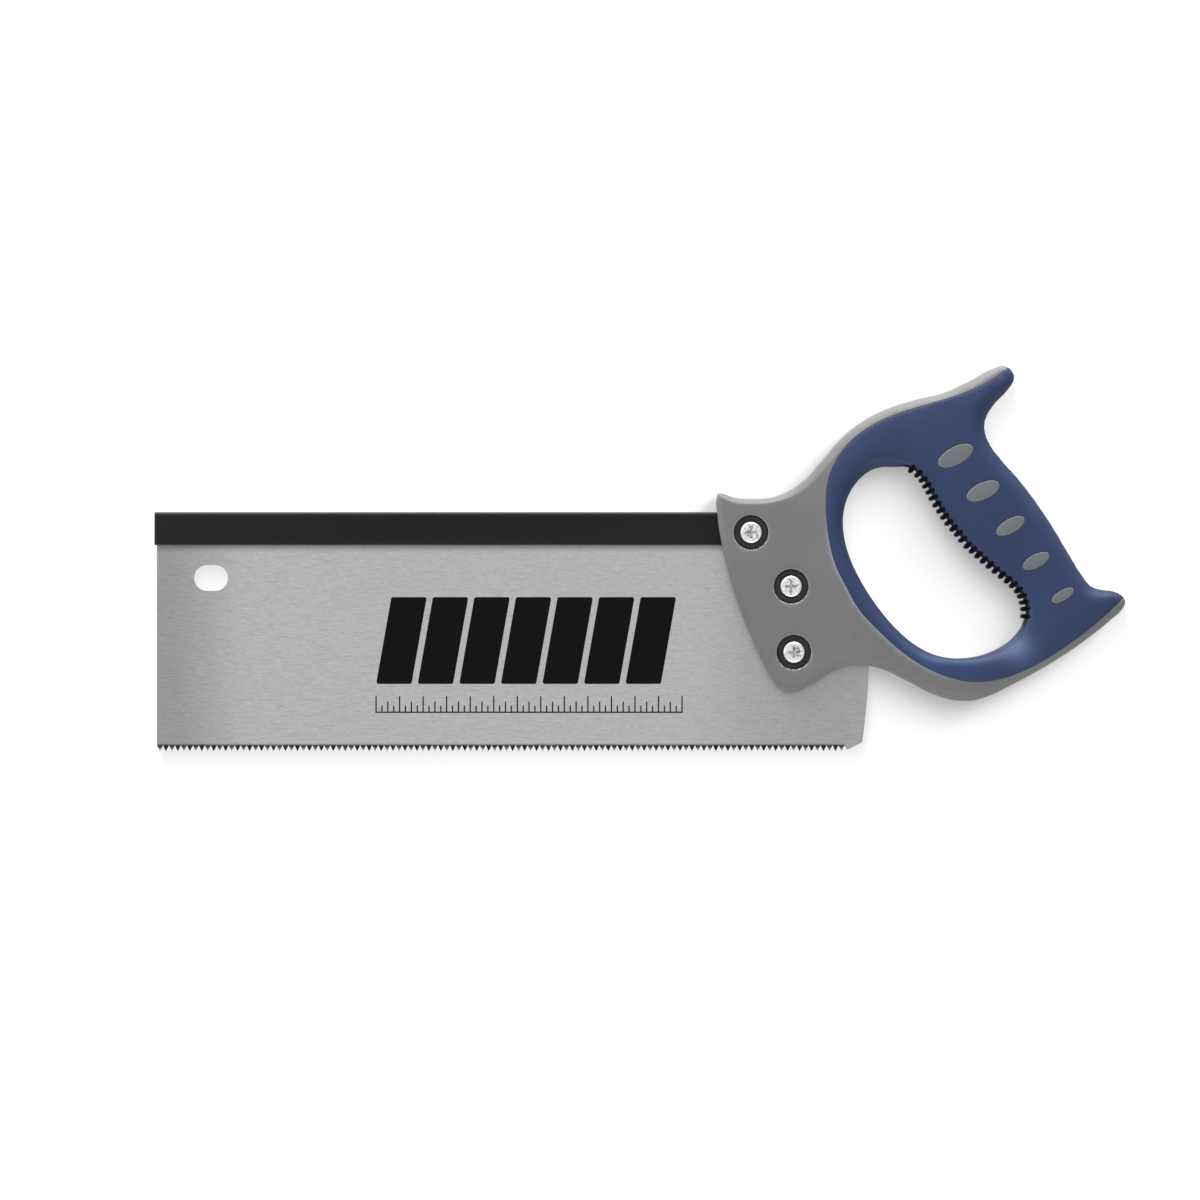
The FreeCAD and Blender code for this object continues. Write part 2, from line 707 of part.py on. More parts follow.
def finish_head(body, turned, face):
    """Round the head's rim and cut its cross recess; face is the y of its top."""
    rim = edge_names(turned.Shape, lambda box: (
        box.YLength < 1e-6
        and near(box.YMin, float(face))
        and near(box.XLength, 2 * float(dim.head_radius), 1e-3)))
    fillet(body, "%s_head_round" % body.Label, turned, rim[:1], dim.head_round)

    sketch = new_sketch(body, "%s_recess_cross" % body.Label, offset=-face)
    arm = dim.recess_arm
    half = dim.recess_half
    polygon(sketch, [
        (-half, -arm), (half, -arm), (half, -half), (arm, -half),
        (arm, half), (half, half), (half, arm), (-half, arm),
        (-half, half), (-arm, half), (-arm, -half), (-half, -half),
    ])
    extrude(body, "Pocket", "%s_recess" % body.Label, sketch, dim.recess_depth,
            symmetric=False, backward=float(face) > 0)
    doc.recompute()


def put(body, which):
    """Move a piece from the origin to its screw's place."""
    x, z = screw_place(which)
    body.Placement = FreeCAD.Placement(Vector(float(x), 0, float(z)), FreeCAD.Rotation())
    body.setExpression("Placement.Base.x", expression(x))
    body.setExpression("Placement.Base.z", expression(z))


def make_screw(which):
    body = new_body("screw_" + which)
    turned = turn(body, [
        (0, -dim.head_top),
        (dim.head_radius, -dim.head_top),
        (dim.head_radius, -dim.head_seat),
        (dim.shank_radius, -dim.head_seat),
        (dim.shank_radius, dim.shank_end - dim.shank_chamfer),
        (dim.shank_radius - dim.shank_chamfer, dim.shank_end),
        (0, dim.shank_end),
    ])
    finish_head(body, turned, -dim.head_top)
    put(body, which)
    return body


def make_nut(which):
    """Sleeve nut: a head on +Y with a blind-bored sleeve round the screw's shank."""
    body = new_body("nut_" + which)
    turned = turn(body, [
        (0, dim.head_top),
        (0, dim.sleeve_bore_end),
        (dim.sleeve_bore, dim.sleeve_bore_end),
        (dim.sleeve_bore, -dim.sleeve_end),
        (dim.sleeve_radius, -dim.sleeve_end),
        (dim.sleeve_radius, dim.head_seat),
        (dim.head_radius, dim.head_seat),
        (dim.head_radius, dim.head_top),
    ])
    finish_head(body, turned, dim.head_top)
    put(body, which)
    return body


def make_washer(side, which, offset, bore):
    body = new_body("washer_%s_%s" % (side, which))
    sketch = new_sketch(body, "%s_ring" % body.Label, offset=offset)
    circle(sketch, 0, 0, dim.washer_radius)
    circle(sketch, 0, 0, bore)
    extrude(body, "Pad", "%s_disc" % body.Label, sketch, dim.washer_thick)
    put(body, which)
    return body


# -------------------------------------------------------------------- output
pieces = [make_blade(), make_spine(), make_handle_core(), make_grip()]
washer_middle = dim.washer_low + dim.washer_thick / 2
for which in SCREWS:
    pieces += [
        make_screw(which),
        make_nut(which),
        make_washer("front", which, washer_middle, dim.washer_bore_front),
        make_washer("back", which, -washer_middle, dim.washer_bore_back),
    ]
doc.recompute()

for obj in doc.Objects:
    if "Invalid" in obj.State or "Error" in obj.State:
        raise RuntimeError("%s: %s" % (obj.Name, obj.State))
    # A pocket that points the wrong way computes without error but removes nothing.
    if obj.TypeId == "PartDesign::Pocket":
        if not obj.Shape.Volume < obj.BaseFeature.Shape.Volume - 1e-3:
            raise RuntimeError("%s removed nothing" % obj.Name)

for piece in pieces:
    shape = piece.Shape
    if shape.isNull() or not shape.isValid():
        raise RuntimeError("%s has no valid shape" % piece.Label)
    if len(shape.Solids) != 1:
        raise RuntimeError("%s has %d solids" % (piece.Label, len(shape.Solids)))

os.makedirs("parts", exist_ok=True)
for piece in pieces:
    piece.Shape.exportStep("parts/%s.step" % piece.Label)
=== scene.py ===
"""A hand saw with a steel plate, a folded black back and a two-part moulded handle.

The plate stands in the x-z plane: x runs from its toe (low x) to the handle, z is up
from the teeth, and -y is the front face that the camera sees. Every piece is
symmetric about y = 0 but the print. Shapes are drawn in mm and built in metres. The CAD pieces give the plate, the back
and the fasteners; the handle's shell and its soft skin are built here in full.
"""
import json
import math

import bmesh
import bpy
import numpy as np
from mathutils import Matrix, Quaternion, Vector
from mathutils.geometry import delaunay_2d_cdt

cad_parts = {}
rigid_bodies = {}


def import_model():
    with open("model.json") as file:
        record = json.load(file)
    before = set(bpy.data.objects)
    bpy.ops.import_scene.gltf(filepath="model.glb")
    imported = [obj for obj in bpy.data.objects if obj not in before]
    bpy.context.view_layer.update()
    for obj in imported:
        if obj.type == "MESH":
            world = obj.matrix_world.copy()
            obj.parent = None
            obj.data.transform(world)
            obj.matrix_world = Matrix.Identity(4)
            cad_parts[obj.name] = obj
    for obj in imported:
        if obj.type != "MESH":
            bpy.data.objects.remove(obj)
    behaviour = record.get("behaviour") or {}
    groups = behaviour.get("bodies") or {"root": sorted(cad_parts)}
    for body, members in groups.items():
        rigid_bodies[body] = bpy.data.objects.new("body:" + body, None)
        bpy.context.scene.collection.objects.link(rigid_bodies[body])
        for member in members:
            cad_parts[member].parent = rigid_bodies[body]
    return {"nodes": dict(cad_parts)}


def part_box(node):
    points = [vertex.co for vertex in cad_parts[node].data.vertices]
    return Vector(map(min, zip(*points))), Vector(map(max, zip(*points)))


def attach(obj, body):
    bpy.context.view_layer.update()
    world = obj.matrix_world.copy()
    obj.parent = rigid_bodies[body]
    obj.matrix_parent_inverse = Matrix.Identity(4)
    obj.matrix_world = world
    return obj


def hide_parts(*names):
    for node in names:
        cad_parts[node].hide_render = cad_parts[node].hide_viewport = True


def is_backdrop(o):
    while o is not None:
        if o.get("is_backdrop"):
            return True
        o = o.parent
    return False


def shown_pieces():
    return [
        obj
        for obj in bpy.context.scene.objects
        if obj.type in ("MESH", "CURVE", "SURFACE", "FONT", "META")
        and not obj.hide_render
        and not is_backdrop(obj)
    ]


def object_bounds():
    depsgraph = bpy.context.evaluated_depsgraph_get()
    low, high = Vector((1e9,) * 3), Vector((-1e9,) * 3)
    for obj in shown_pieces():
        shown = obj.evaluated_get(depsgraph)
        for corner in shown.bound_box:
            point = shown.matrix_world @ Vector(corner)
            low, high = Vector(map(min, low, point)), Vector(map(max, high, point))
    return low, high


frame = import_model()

MM = 0.001
for spare in [o for o in bpy.data.objects if o.name in ("Cube", "Light", "Camera")]:
    bpy.data.objects.remove(spare)
CAD_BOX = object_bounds()
NODES = frame["nodes"]

# ------------------------------------------------------ handle lines: x, z in mm
# Front edge of the handle, from the upper tip down the blade side to the lower tip.
FRONT_EDGE = [
    (211.47, 162.68), (210.55, 163.17), (209.6, 163.43), (208.64, 163.47), (207.29, 163.27),
    (204.1, 162.06), (193.48, 156.34), (184, 152.12), (172.34, 149.23), (160.76, 145.69),
    (149.98, 140.23), (141.19, 133.44), (133.16, 124.42), (125.14, 115.46), (119.86, 111.42),
    (114.69, 108.86), (109.76, 107.52), (103.04, 107.14), (94.7, 107.77), (91.66, 108.84),
    (89.83, 109.44), (88.91, 109.5), (88.17, 109.04), (87.92, 108.07), (88.13, 99.75), (89.94, 87.88),
    (92.67, 76.12), (96.18, 64.62), (100.42, 53.35), (105.31, 42.33), (110.8, 31.53), (113.17, 27.78),
    (114.45, 26.51), (115.77, 25.65), (117.12, 25.13), (118.39, 24.92), (119.94, 24.98),
    (122.26, 25.56), (127.53, 28.06), (137.32, 34.02), (141.78, 35.62), (146.92, 36.41),
    (152.19, 36.18), (158.08, 34.71), (168.97, 29.59), (179.78, 24.13), (186.85, 21.89), (192.6, 21.28),
    (197.56, 21.72), (202.69, 23.26), (213.58, 28.52), (224.19, 34.2), (234.52, 40.47), (244.41, 47.36),
    (253.83, 54.85), (259.53, 60.01), (260.45, 61.4), (260.92, 62.59), (261.03, 63.6), (260.28, 65.22),
]
# The hand opening, a closed line.
OPENING = [
    (169, 120.66), (163.71, 120.76), (157.09, 120.49), (154.62, 119.8), (151.97, 118.45),
    (149.08, 116.17), (146.11, 112.73), (143.61, 108.37), (142.02, 103.64), (141.3, 98.06),
    (141.76, 91.22), (144.11, 82.4), (149.28, 71.53), (155.86, 61.41), (163.64, 52.16), (171.78, 45.2),
    (177.74, 41.86), (183.5, 40.03), (189.86, 39.31), (196.66, 39.84), (203.4, 41.72), (209.12, 44.57),
    (213.36, 47.83), (216.3, 51.17), (218.26, 54.52), (219.17, 57.15), (219.46, 59.3), (219.3, 61.38),
    (218.57, 64.04), (217.08, 67.03), (214.49, 70.36), (205.35, 78.22), (196.39, 86.26),
    (188.28, 95.25), (181.6, 105.24), (175.59, 115.66), (173.3, 118.37), (171.75, 119.6),
    (170.33, 120.31),
]
# Outer line of the hard skeleton inside the soft skin, closed.
SKELETON = [
    (192.47, 22.5), (197.57, 23.02), (203.15, 24.75), (214.05, 30.15), (224.74, 35.92), (234.97, 42.21),
    (244.88, 49.25), (254.29, 56.74), (257.59, 59.71), (258.59, 61.17), (258.9, 62.04), (258.58, 62.87),
    (257.92, 63.49), (256.79, 64.19), (255.31, 64.73), (250.47, 65.48), (246.98, 66.45),
    (245.02, 67.44), (243.33, 68.81), (240.85, 71.89), (234.48, 82.08), (228.28, 92.54),
    (221.71, 102.58), (214.37, 112.28), (206.36, 121.44), (200.97, 128.71), (199.1, 132.78),
    (198.4, 135.76), (198.34, 138.48), (198.89, 141.52), (200.15, 144.71), (202.37, 148.14),
    (208.54, 154.87), (210.08, 157.07), (210.46, 157.95), (210.57, 158.86), (210.29, 159.8),
    (209.71, 160.59), (208.76, 161.56), (207.88, 161.84), (206.94, 161.71), (203.98, 160.69),
    (193.41, 154.9), (183.86, 150.79), (172.2, 147.96), (160.76, 144.35), (149.98, 138.78),
    (142.03, 132.59), (134.05, 123.58), (125.93, 114.55), (120.55, 110.43), (114.99, 107.71),
    (109.33, 106.2), (103.72, 105.85), (94.3, 106.54), (93.35, 106.8), (91.79, 107.55), (90.61, 107.87),
    (89.58, 107.82), (89.08, 107.07), (89.07, 105.56), (90.17, 93.58), (92.5, 81.65), (95.76, 69.93),
    (99.67, 58.58), (104.31, 47.34), (109.64, 36.44), (113.63, 29.16), (114.87, 27.83), (115.95, 27.07),
    (117.18, 26.52), (118.51, 26.22), (119.87, 26.2), (121.58, 26.53), (124.64, 27.84), (134.38, 33.8),
    (140.87, 36.59), (145.51, 37.57), (150.42, 37.6), (156.83, 36.35), (166.21, 32.47), (176.89, 26.77),
    (185.41, 23.49), (190.94, 22.55),
]
# Seat line where hard shell meets soft skin, from the upper tip to the lower tip.
SEAT_EDGE = [
    (211.47, 162.68), (210.67, 162.03), (202.74, 156.45), (191.77, 151.47), (180.23, 147.83),
    (168.69, 144.37), (157.48, 139.97), (148.6, 134.68), (142.9, 129.49), (138.67, 123.78),
    (135.86, 117.87), (134.47, 112.37), (134.11, 102.74), (135.13, 90.77), (137.54, 80.47),
    (142.65, 69.59), (148.36, 59.75), (156.62, 50.83), (165.6, 42.69), (175.62, 35.94), (185.38, 31.67),
    (193.62, 29.84), (200.93, 29.69), (209.57, 31.26), (220.9, 35.67), (231.35, 41.7), (241.27, 48.67),
    (250.65, 56.22), (259.53, 64.49), (260.28, 65.22),
]
# Back edge of the handle, from the lower tip up to the upper tip.
BACK_EDGE = [
    (260.28, 65.22), (259.3, 66.17), (257.97, 67), (256.17, 67.67), (250.32, 68.59), (248.01, 69.21),
    (246.75, 69.84), (245.86, 70.55), (242.97, 74.24), (236.58, 84.47), (230.44, 94.86),
    (223.76, 104.89), (216.47, 114.51), (208.52, 123.57), (203.91, 129.61), (202.14, 133.33),
    (201.43, 136.11), (201.33, 138.28), (201.64, 140.29), (202.56, 142.74), (204.62, 146.06),
    (211.18, 153.33), (213.23, 156.22), (213.75, 157.41), (213.94, 158.4), (213.86, 159.42),
    (213.53, 160.32), (212.92, 161.3), (211.47, 162.68),
]
# Line along the opening's back side; one rib stands on each of its spans.
RIB_LINE = [
    (169.11, 121.1), (172.51, 119.18), (174.89, 116.85), (176.59, 114.3), (177.99, 111.75),
    (179.44, 109.2), (180.75, 106.44), (182.49, 103.68), (183.98, 101.13), (185.77, 98.58),
    (187.59, 96.03), (189.72, 93.9), (191.63, 91.44), (193.46, 88.8), (195.79, 86.68), (198, 84.73),
    (200.43, 82.43), (202.68, 80.43), (205.4, 78.18), (207.78, 76.1), (210.5, 73.93), (212.87, 72.15),
    (215.17, 69.68), (217.12, 67.56), (218.23, 64.58), (218.82, 62.04), (219.46, 59.06),
    (218.91, 55.24),
]
# Oval bosses showing through the skin: centre x, z, half length, half width, tilt in degrees.
OVALS = [
    (188.87, 125.26, 8.28, 3.82, 28.0),
    (200.51, 110.35, 7.56, 3.61, 25.0),
    (212.07, 95.52, 6.80, 3.06, 29.6),
    (222.94, 80.69, 6.29, 2.89, 27.5),
    (234.25, 66.12, 5.31, 2.29, 31.0),
]


# -------------------------------------------------------------------- plane lines
def mirrored(way, start, end):
    """Direction at the end of the arc that leaves start along way."""
    chord = np.subtract(end, start)
    chord = chord / np.linalg.norm(chord)
    return 2 * np.dot(way, chord) * chord - way


def tangents(points, closed):
    count = len(points)
    out = [None] * count
    for i in range(count):
        if closed or 0 < i < count - 1:
            before = points[i] - points[i - 1]
            after = points[(i + 1) % count] - points[i]
            len_before, len_after = np.linalg.norm(before), np.linalg.norm(after)
            way = before / len_before * len_after + after / len_after * len_before
            out[i] = way / np.linalg.norm(way)
    if not closed:
        out[0] = mirrored(out[1], points[0], points[1])
        out[-1] = mirrored(out[-2], points[-2], points[-1])
    return out


def arc_points(start, way, end, step):
    """Points from start (in) to end (left out) on the arc that leaves start along way."""
    left = np.array([-way[1], way[0]])
    across = end - start
    chord = np.linalg.norm(across)
    side, along = np.dot(left, across), np.dot(way, across)
    count = max(1, int(round(chord / step)))
    if abs(side) < 1e-4 * chord:
        return [start + across * k / count for k in range(count)]
    centre = start + left * (chord * chord / (2 * side))
    sweep = 2 * math.atan2(side, along)
    spoke = start - centre
    out = []
    for k in range(count):
        cos, sin = math.cos(sweep * k / count), math.sin(sweep * k / count)
        out.append(centre + np.array([spoke[0] * cos - spoke[1] * sin,
                                      spoke[0] * sin + spoke[1] * cos]))
    return out


def chain(points, closed, step):
    """Tangent chain of arcs through the points, two arcs to a span, sampled."""
    points = [np.array(p, float) for p in points]
    ways = tangents(points, closed)
    count = len(points)
    out = []
    for i in range(count if closed else count - 1):
        start, end = points[i], points[(i + 1) % count]
        leave, arrive = ways[i], ways[(i + 1) % count]
        across = end - start
        square, along = np.dot(across, across), np.dot(across, leave + arrive)
        bend = 1 - np.dot(leave, arrive)
        if bend < 1e-9:
            reach = square / (2 * along)
        else:
            reach = (-along + math.sqrt(along * along + 2 * bend * square)) / (2 * bend)
        middle = (start + end + reach * (leave - arrive)) / 2
        out += arc_points(start, leave, middle, step)
        out += arc_points(middle, mirrored(leave, start, middle), end, step)
    if not closed:
        out.append(points[-1])
    return np.array(out)


def shifted(points, distance, closed):
    """The points moved to the right of the line's direction."""
    points = np.array(points, float)
    count = len(points)
    out = []
    for i in range(count):
        if closed:
            before, after = points[i - 1], points[(i + 1) % count]
        else:
            before, after = points[max(i - 1, 0)], points[min(i + 1, count - 1)]
        way = (after - before) / np.linalg.norm(after - before)
        out.append(points[i] + np.array([way[1], -way[0]]) * distance)
    return np.array(out)


def turning(loop):
    """1 for a loop that runs counter-clockwise with x right and z up, else -1."""
    here = np.array(loop, float)
    after = np.roll(here, -1, 0)
    return 1.0 if np.sum(here[:, 0] * after[:, 1] - after[:, 0] * here[:, 1]) > 0 else -1.0


def grown(loop, distance):
    return shifted(loop, distance * turning(loop), True)


def ellipse(x, z, half_length, half_width, tilt, extra, count):
    cos, sin = math.cos(math.radians(tilt)), math.sin(math.radians(tilt))
    turn = np.arange(count) * 2 * math.pi / count
    along, across = (half_length + extra) * np.cos(turn), (half_width + extra) * np.sin(turn)
    return np.stack([x + along * cos - across * sin, z + along * sin + across * cos], 1)


def disc(x, z, radius, count):
    return ellipse(x, z, radius, radius, 0.0, 0.0, count)


def subdivided(corners, step):
    out = []
    corners = np.array(corners, float)
    for i in range(len(corners)):
        start, end = corners[i], corners[(i + 1) % len(corners)]
        count = max(1, int(round(np.linalg.norm(end - start) / step)))
        out += [start + (end - start) * k / count for k in range(count)]
    return np.array(out)


def rounded(corners, radius, steps=5):
    """Polygon with its corners rounded."""
    out = []
    corners = [np.array(c, float) for c in corners]
    for i, corner in enumerate(corners):
        before, after = corners[i - 1] - corner, corners[(i + 1) % len(corners)] - corner
        len_before, len_after = np.linalg.norm(before), np.linalg.norm(after)
        before, after = before / len_before, after / len_after
        half = math.acos(max(-1, min(1, float(np.dot(before, after))))) / 2
        cut = min(radius / math.tan(half), len_before * 0.45, len_after * 0.45)
        fit = cut * math.tan(half)
        bisector = (before + after) / np.linalg.norm(before + after)
        centre = corner + bisector * (fit / math.sin(half))
        first, last = corner + before * cut - centre, corner + after * cut - centre
        start, end = math.atan2(first[1], first[0]), math.atan2(last[1], last[0])
        while end - start > math.pi:
            end -= 2 * math.pi
        while end - start < -math.pi:
            end += 2 * math.pi
        for k in range(steps + 1):
            turn = start + (end - start) * k / steps
            out.append(centre + fit * np.array([math.cos(turn), math.sin(turn)]))
    return np.array(out)


# ------------------------------------------------------------ distance and inside
def nearest_on(points, starts, ends):
    """For each point, the nearest segment: (distance, segment, share along it)."""
    points = np.asarray(points, np.float64)
    spans = ends - starts
    squares = np.maximum((spans ** 2).sum(1), 1e-18)
    distances, segments, shares = [], [], []
    for k in range(0, len(points), 1500):
        x, z = points[k:k + 1500, 0:1], points[k:k + 1500, 1:2]
        share = ((x - starts[None, :, 0]) * spans[None, :, 0]
                 + (z - starts[None, :, 1]) * spans[None, :, 1]) / squares
        share = np.clip(share, 0, 1)
        off_x = x - (starts[None, :, 0] + share * spans[None, :, 0])
        off_z = z - (starts[None, :, 1] + share * spans[None, :, 1])
        square = off_x * off_x + off_z * off_z
        segment = square.argmin(1)
        row = np.arange(len(x))
        distances.append(np.sqrt(square[row, segment]))
        segments.append(segment)
        shares.append(share[row, segment])
    return np.concatenate(distances), np.concatenate(segments), np.concatenate(shares)


def nearest_on_loop(points, loop):
    return nearest_on(points, loop, np.roll(loop, -1, 0))


def loop_distance(points, loop):
    return nearest_on_loop(points, loop)[0]


def line_distance(points, line):
    return nearest_on(points, line[:-1], line[1:])[0]


def nearest_loop(points, loops):
    return np.min([loop_distance(points, loop) for loop in loops], axis=0)


def inside(points, loop):
    points = np.asarray(points, float)
    out = np.zeros(len(points), bool)
    low, high = loop.min(0), loop.max(0)
    near = np.where((points[:, 0] > low[0]) & (points[:, 0] < high[0])
                    & (points[:, 1] > low[1]) & (points[:, 1] < high[1]))[0]
    start_x, start_z = loop[:, 0], loop[:, 1]
    end_x, end_z = np.roll(start_x, -1), np.roll(start_z, -1)
    rise = np.where(end_z == start_z, 1e-12, end_z - start_z)
    for k in range(0, len(near), 3000):
        i = near[k:k + 3000]
        x, z = points[i, 0:1], points[i, 1:2]
        crossed = (((start_z > z) != (end_z > z))
                   & (x < (end_x - start_x) * (z - start_z) / rise + start_x))
        out[i] = crossed.sum(1) % 2 == 1
    return out


def inside_any(points, loops):
    return np.any([inside(points, loop) for loop in loops], axis=0)


def smooth(share):
    share = np.clip(share, 0, 1)
    return share * share * (3 - 2 * share)


def halo(distance, width):
    """1 at no distance, fading out over the width."""
    return np.exp(-(distance / width) ** 2)


def dip(distance, radius):
    """How far a rounded edge of the radius falls at a distance from the edge."""
    distance = np.clip(distance, 0, radius)
    return radius - np.sqrt(np.maximum(2 * radius * distance - distance * distance, 0))


def far(points, place):
    return np.linalg.norm(np.asarray(points, float) - place, axis=-1)


# -------------------------------------------------- handle lines, set on the frame
FINE = 0.55                                 # point spacing on the visible edges
COARSE = 1.2                                # and on the hidden ones
core_lo, core_hi = [np.array(corner / MM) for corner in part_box("handle_core")]
grip_lo, grip_hi = [np.array(corner / MM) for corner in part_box("grip_overmould")]
drawn_front = chain(FRONT_EDGE, False, FINE)
anchor = np.array([core_lo[0] - drawn_front[:, 0].min(), core_hi[2] - drawn_front[:, 1].max()])
if np.abs(anchor).max() > 5.0:
    raise RuntimeError("the handle's lines don't belong to this frame")


def placed(rows):
    """Table rows with their x and z moved onto the frame."""
    return [(row[0] + anchor[0], row[1] + anchor[1]) + tuple(row[2:]) for row in rows]


def spot(x, z):
    return np.array([x, z]) + anchor


SKELETON_INSET = 3.2                        # skeleton's inner line, out from the opening
BED_PLAY = 0.05                             # overlap or gap where skin meets hard parts
opening_points, seat_points, back_points = placed(OPENING), placed(SEAT_EDGE), placed(BACK_EDGE)
skeleton_points, ovals, rib_line = placed(SKELETON), placed(OVALS), np.array(placed(RIB_LINE))
front = chain(placed(FRONT_EDGE), False, FINE)
seat = chain(seat_points, False, FINE)
back = chain(back_points, False, FINE)
opening = chain(opening_points, True, 0.45)
outline = np.concatenate([front[:-1], back[:-1]])
shell_loop = np.concatenate([front[:-1], seat[::-1][:-1]])
skin_loop = np.concatenate([seat[:-1], back[:-1]])
# The skin's own edge along the seat, and the back edge that closes it.
bond = shifted(seat_points, -BED_PLAY, False)
bond_line = chain(bond, False, FINE)
bond_back = chain([tuple(bond[-1])] + back_points[1:-1] + [tuple(bond[0])], False, FINE)
bond_loop = np.concatenate([bond_line[:-1], bond_back[:-1]])
skeleton_out = chain(skeleton_points, True, COARSE)
skeleton_in = chain(grown(opening_points, SKELETON_INSET), True, COARSE)
bed_out = chain(grown(skeleton_points, BED_PLAY), True, COARSE)
bed_in = chain(grown(opening_points, SKELETON_INSET - BED_PLAY), True, COARSE)


def box_mm(node):
    return [np.array(corner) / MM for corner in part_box(node)]


def screw_axis(which):
    low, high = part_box("screw_" + which)
    return ((low[0] + high[0]) / 2 / MM, (low[2] + high[2]) / 2 / MM)


SCREWS = [screw_axis(which) for which in ("top", "middle", "lower")]
blade_lo = box_mm("blade")[0]
spine_lo, spine_hi = box_mm("spine")
washer_lo, washer_hi = box_mm("washer_front_middle")
PLATE = 0.4                                 # half the plate's thickness
SLOT = PLATE + 0.03                         # half the slot for the plate
POCKET = spine_hi[1] + 0.03                 # half the pocket for the folded back
BORE_FLOOR = -washer_hi[1] - 0.02           # counterbore floor, out from the mid-plane
BORE_RADIUS = (washer_hi[0] - washer_lo[0]) / 2 + 0.3
HOLE_RADIUS = 2.9
SLOT_LEFT = 70                              # slot and pocket start left of the handle

slot_loop = subdivided([(SLOT_LEFT, -5), (152.8, -5), (152.8, 43.1), (126.35, 84.2),
                        (113.4, 100.3), (SLOT_LEFT, 100.3)], COARSE)
pocket_right, pocket_low, pocket_high = spine_hi[0] + 0.4, spine_lo[2] - 0.1, spine_hi[2] + 0.1
pocket_loop = subdivided([(SLOT_LEFT, pocket_low), (pocket_right, pocket_low),
                          (pocket_right, pocket_high), (SLOT_LEFT, pocket_high)], COARSE)

# ------------------------------------------------------- the handle's outer surface
UPPER_TIP, LOWER_TIP = spot(212.5, 162.5), spot(260.5, 64.5)
CHEEK_TIP = spot(88.4, 109.3)
PALM = spot(214.5, 46.5)                    # where the heel of the hand rests
EDGE_ROUND = 1.15                           # small round at the very edge
SLOPE = 0.88                                # fall of the bevel per mm
BEVEL_BLEND = 0.14                          # softness of the bevel's inner end
SHELL_HALF, SKIN_EXTRA = 10.75, 1.60        # half thickness, and what the skin adds
TIP_LOSS, TIP_REACH = 2.0, 9                # thinning towards the two tips
CROWN, CROWN_REACH = 0.35, 7.5              # slight bulge of the skin's face


def grip_depth(points):
    """Signed distance from the seat line, plus on the soft skin's side."""
    distance = line_distance(points, seat)
    return np.where(inside(points, skin_loop), distance, -distance)


def near_tips(points, radius, base, rise):
    """The radius, cut down near the handle's tips."""
    for tip in (UPPER_TIP, LOWER_TIP):
        radius = np.minimum(radius, base + rise * far(points, tip))
    return np.minimum(radius, 1.1 + 0.35 * far(points, CHEEK_TIP))


def blurred(values, reach):
    """Values round a loop, averaged over reach points either way."""
    kernel = np.hanning(2 * reach + 1)
    kernel /= kernel.sum()
    return np.convolve(np.concatenate([values[-reach:], values, values[:reach]]), kernel, "valid")


# The hard shell's edge is a bevel, bowed near the seat; the skin's back edge is a full
# round. outline_soft tells them apart.
near_seat = smooth((grip_depth(outline) + 22) / 12)
outline_round = blurred(near_tips(outline, np.full(len(outline), 6.6), base=2.4, rise=0.30), 15)
outline_bevel = blurred(near_tips(outline, 2.25 + 1.05 * near_seat, base=1.3, rise=0.18), 15)
outline_bow = blurred(0.9 * near_seat * smooth((outline[:, 1] - anchor[1] - 48) / 20), 15)
outline_soft = blurred((np.arange(len(outline)) >= len(front) - 1).astype(float), 9)

# The opening's round is wider on the blade side and at the palm, but not at the ribs.
outer_side = smooth((188.0 + anchor[0] - opening[:, 0]) / 14)
open_round = 2.6 * outer_side + 4.6 * halo(far(opening, PALM), 14)
clear_of_ribs = smooth((line_distance(opening, rib_line) - 1.5) / 6)
open_round = blurred(3.2 + open_round * clear_of_ribs, 12)


class Face:
    """The handle's outer surface over a set of points.

    height: half thickness; edge, hole: distances to the outline and the opening;
    depth: signed distance from the seat; ease: radius of the round at the opening.
    """

    def __init__(self, points):
        self.edge, i, share = nearest_on_loop(points, outline)
        j = (i + 1) % len(outline)
        radius, bevel, soft, bow = [
            values[i] * (1 - share) + values[j] * share
            for values in (outline_round, outline_bevel, outline_soft, outline_bow)]
        cut = SLOPE * BEVEL_BLEND * np.logaddexp(0, (bevel - self.edge) / BEVEL_BLEND)
        cut = cut + dip(self.edge, EDGE_ROUND)
        cut = (1 - bow) * cut + bow * dip(self.edge, bevel + 0.55)
        self.hole, i, share = nearest_on_loop(points, opening)
        j = (i + 1) % len(opening)
        self.ease = open_round[i] * (1 - share) + open_round[j] * share
        self.depth = grip_depth(points)
        body = SHELL_HALF + SKIN_EXTRA * smooth((self.depth + 15) / 20)
        for tip in (UPPER_TIP, LOWER_TIP):
            body = body - TIP_LOSS * halo(far(points, tip), TIP_REACH)
        nearest_edge = np.minimum(self.edge, self.hole)
        body = body + CROWN * (1 - halo(nearest_edge, CROWN_REACH)) * smooth((self.depth + 2) / 9)
        self.height = (body - (1 - soft) * cut - soft * dip(self.edge, radius)
                       - dip(self.hole, self.ease))


# ------------------------------------------------------------- free points for meshes
def spaced(groups, loops):
    """Join (points, room) groups, dropping points that crowd a loop or an earlier point."""
    size = 1.2
    cells = {}

    def cell_of(point):
        return int(math.floor(point[0] / size)), int(math.floor(point[1] / size))

    def crowded(point, room):
        column, row = cell_of(point)
        return any((other[0] - point[0]) ** 2 + (other[1] - point[1]) ** 2 < room * room
                   for i in (column - 1, column, column + 1)
                   for j in (row - 1, row, row + 1)
                   for other in cells.get((i, j), ()))

    for point in np.concatenate(loops):
        cells.setdefault(cell_of(point), []).append(tuple(point))
    fresh = []
    for group, room in groups:
        for point in group:
            if not crowded(point, room):
                cells.setdefault(cell_of(point), []).append(point)
                fresh.append(point)
    return np.array(fresh)


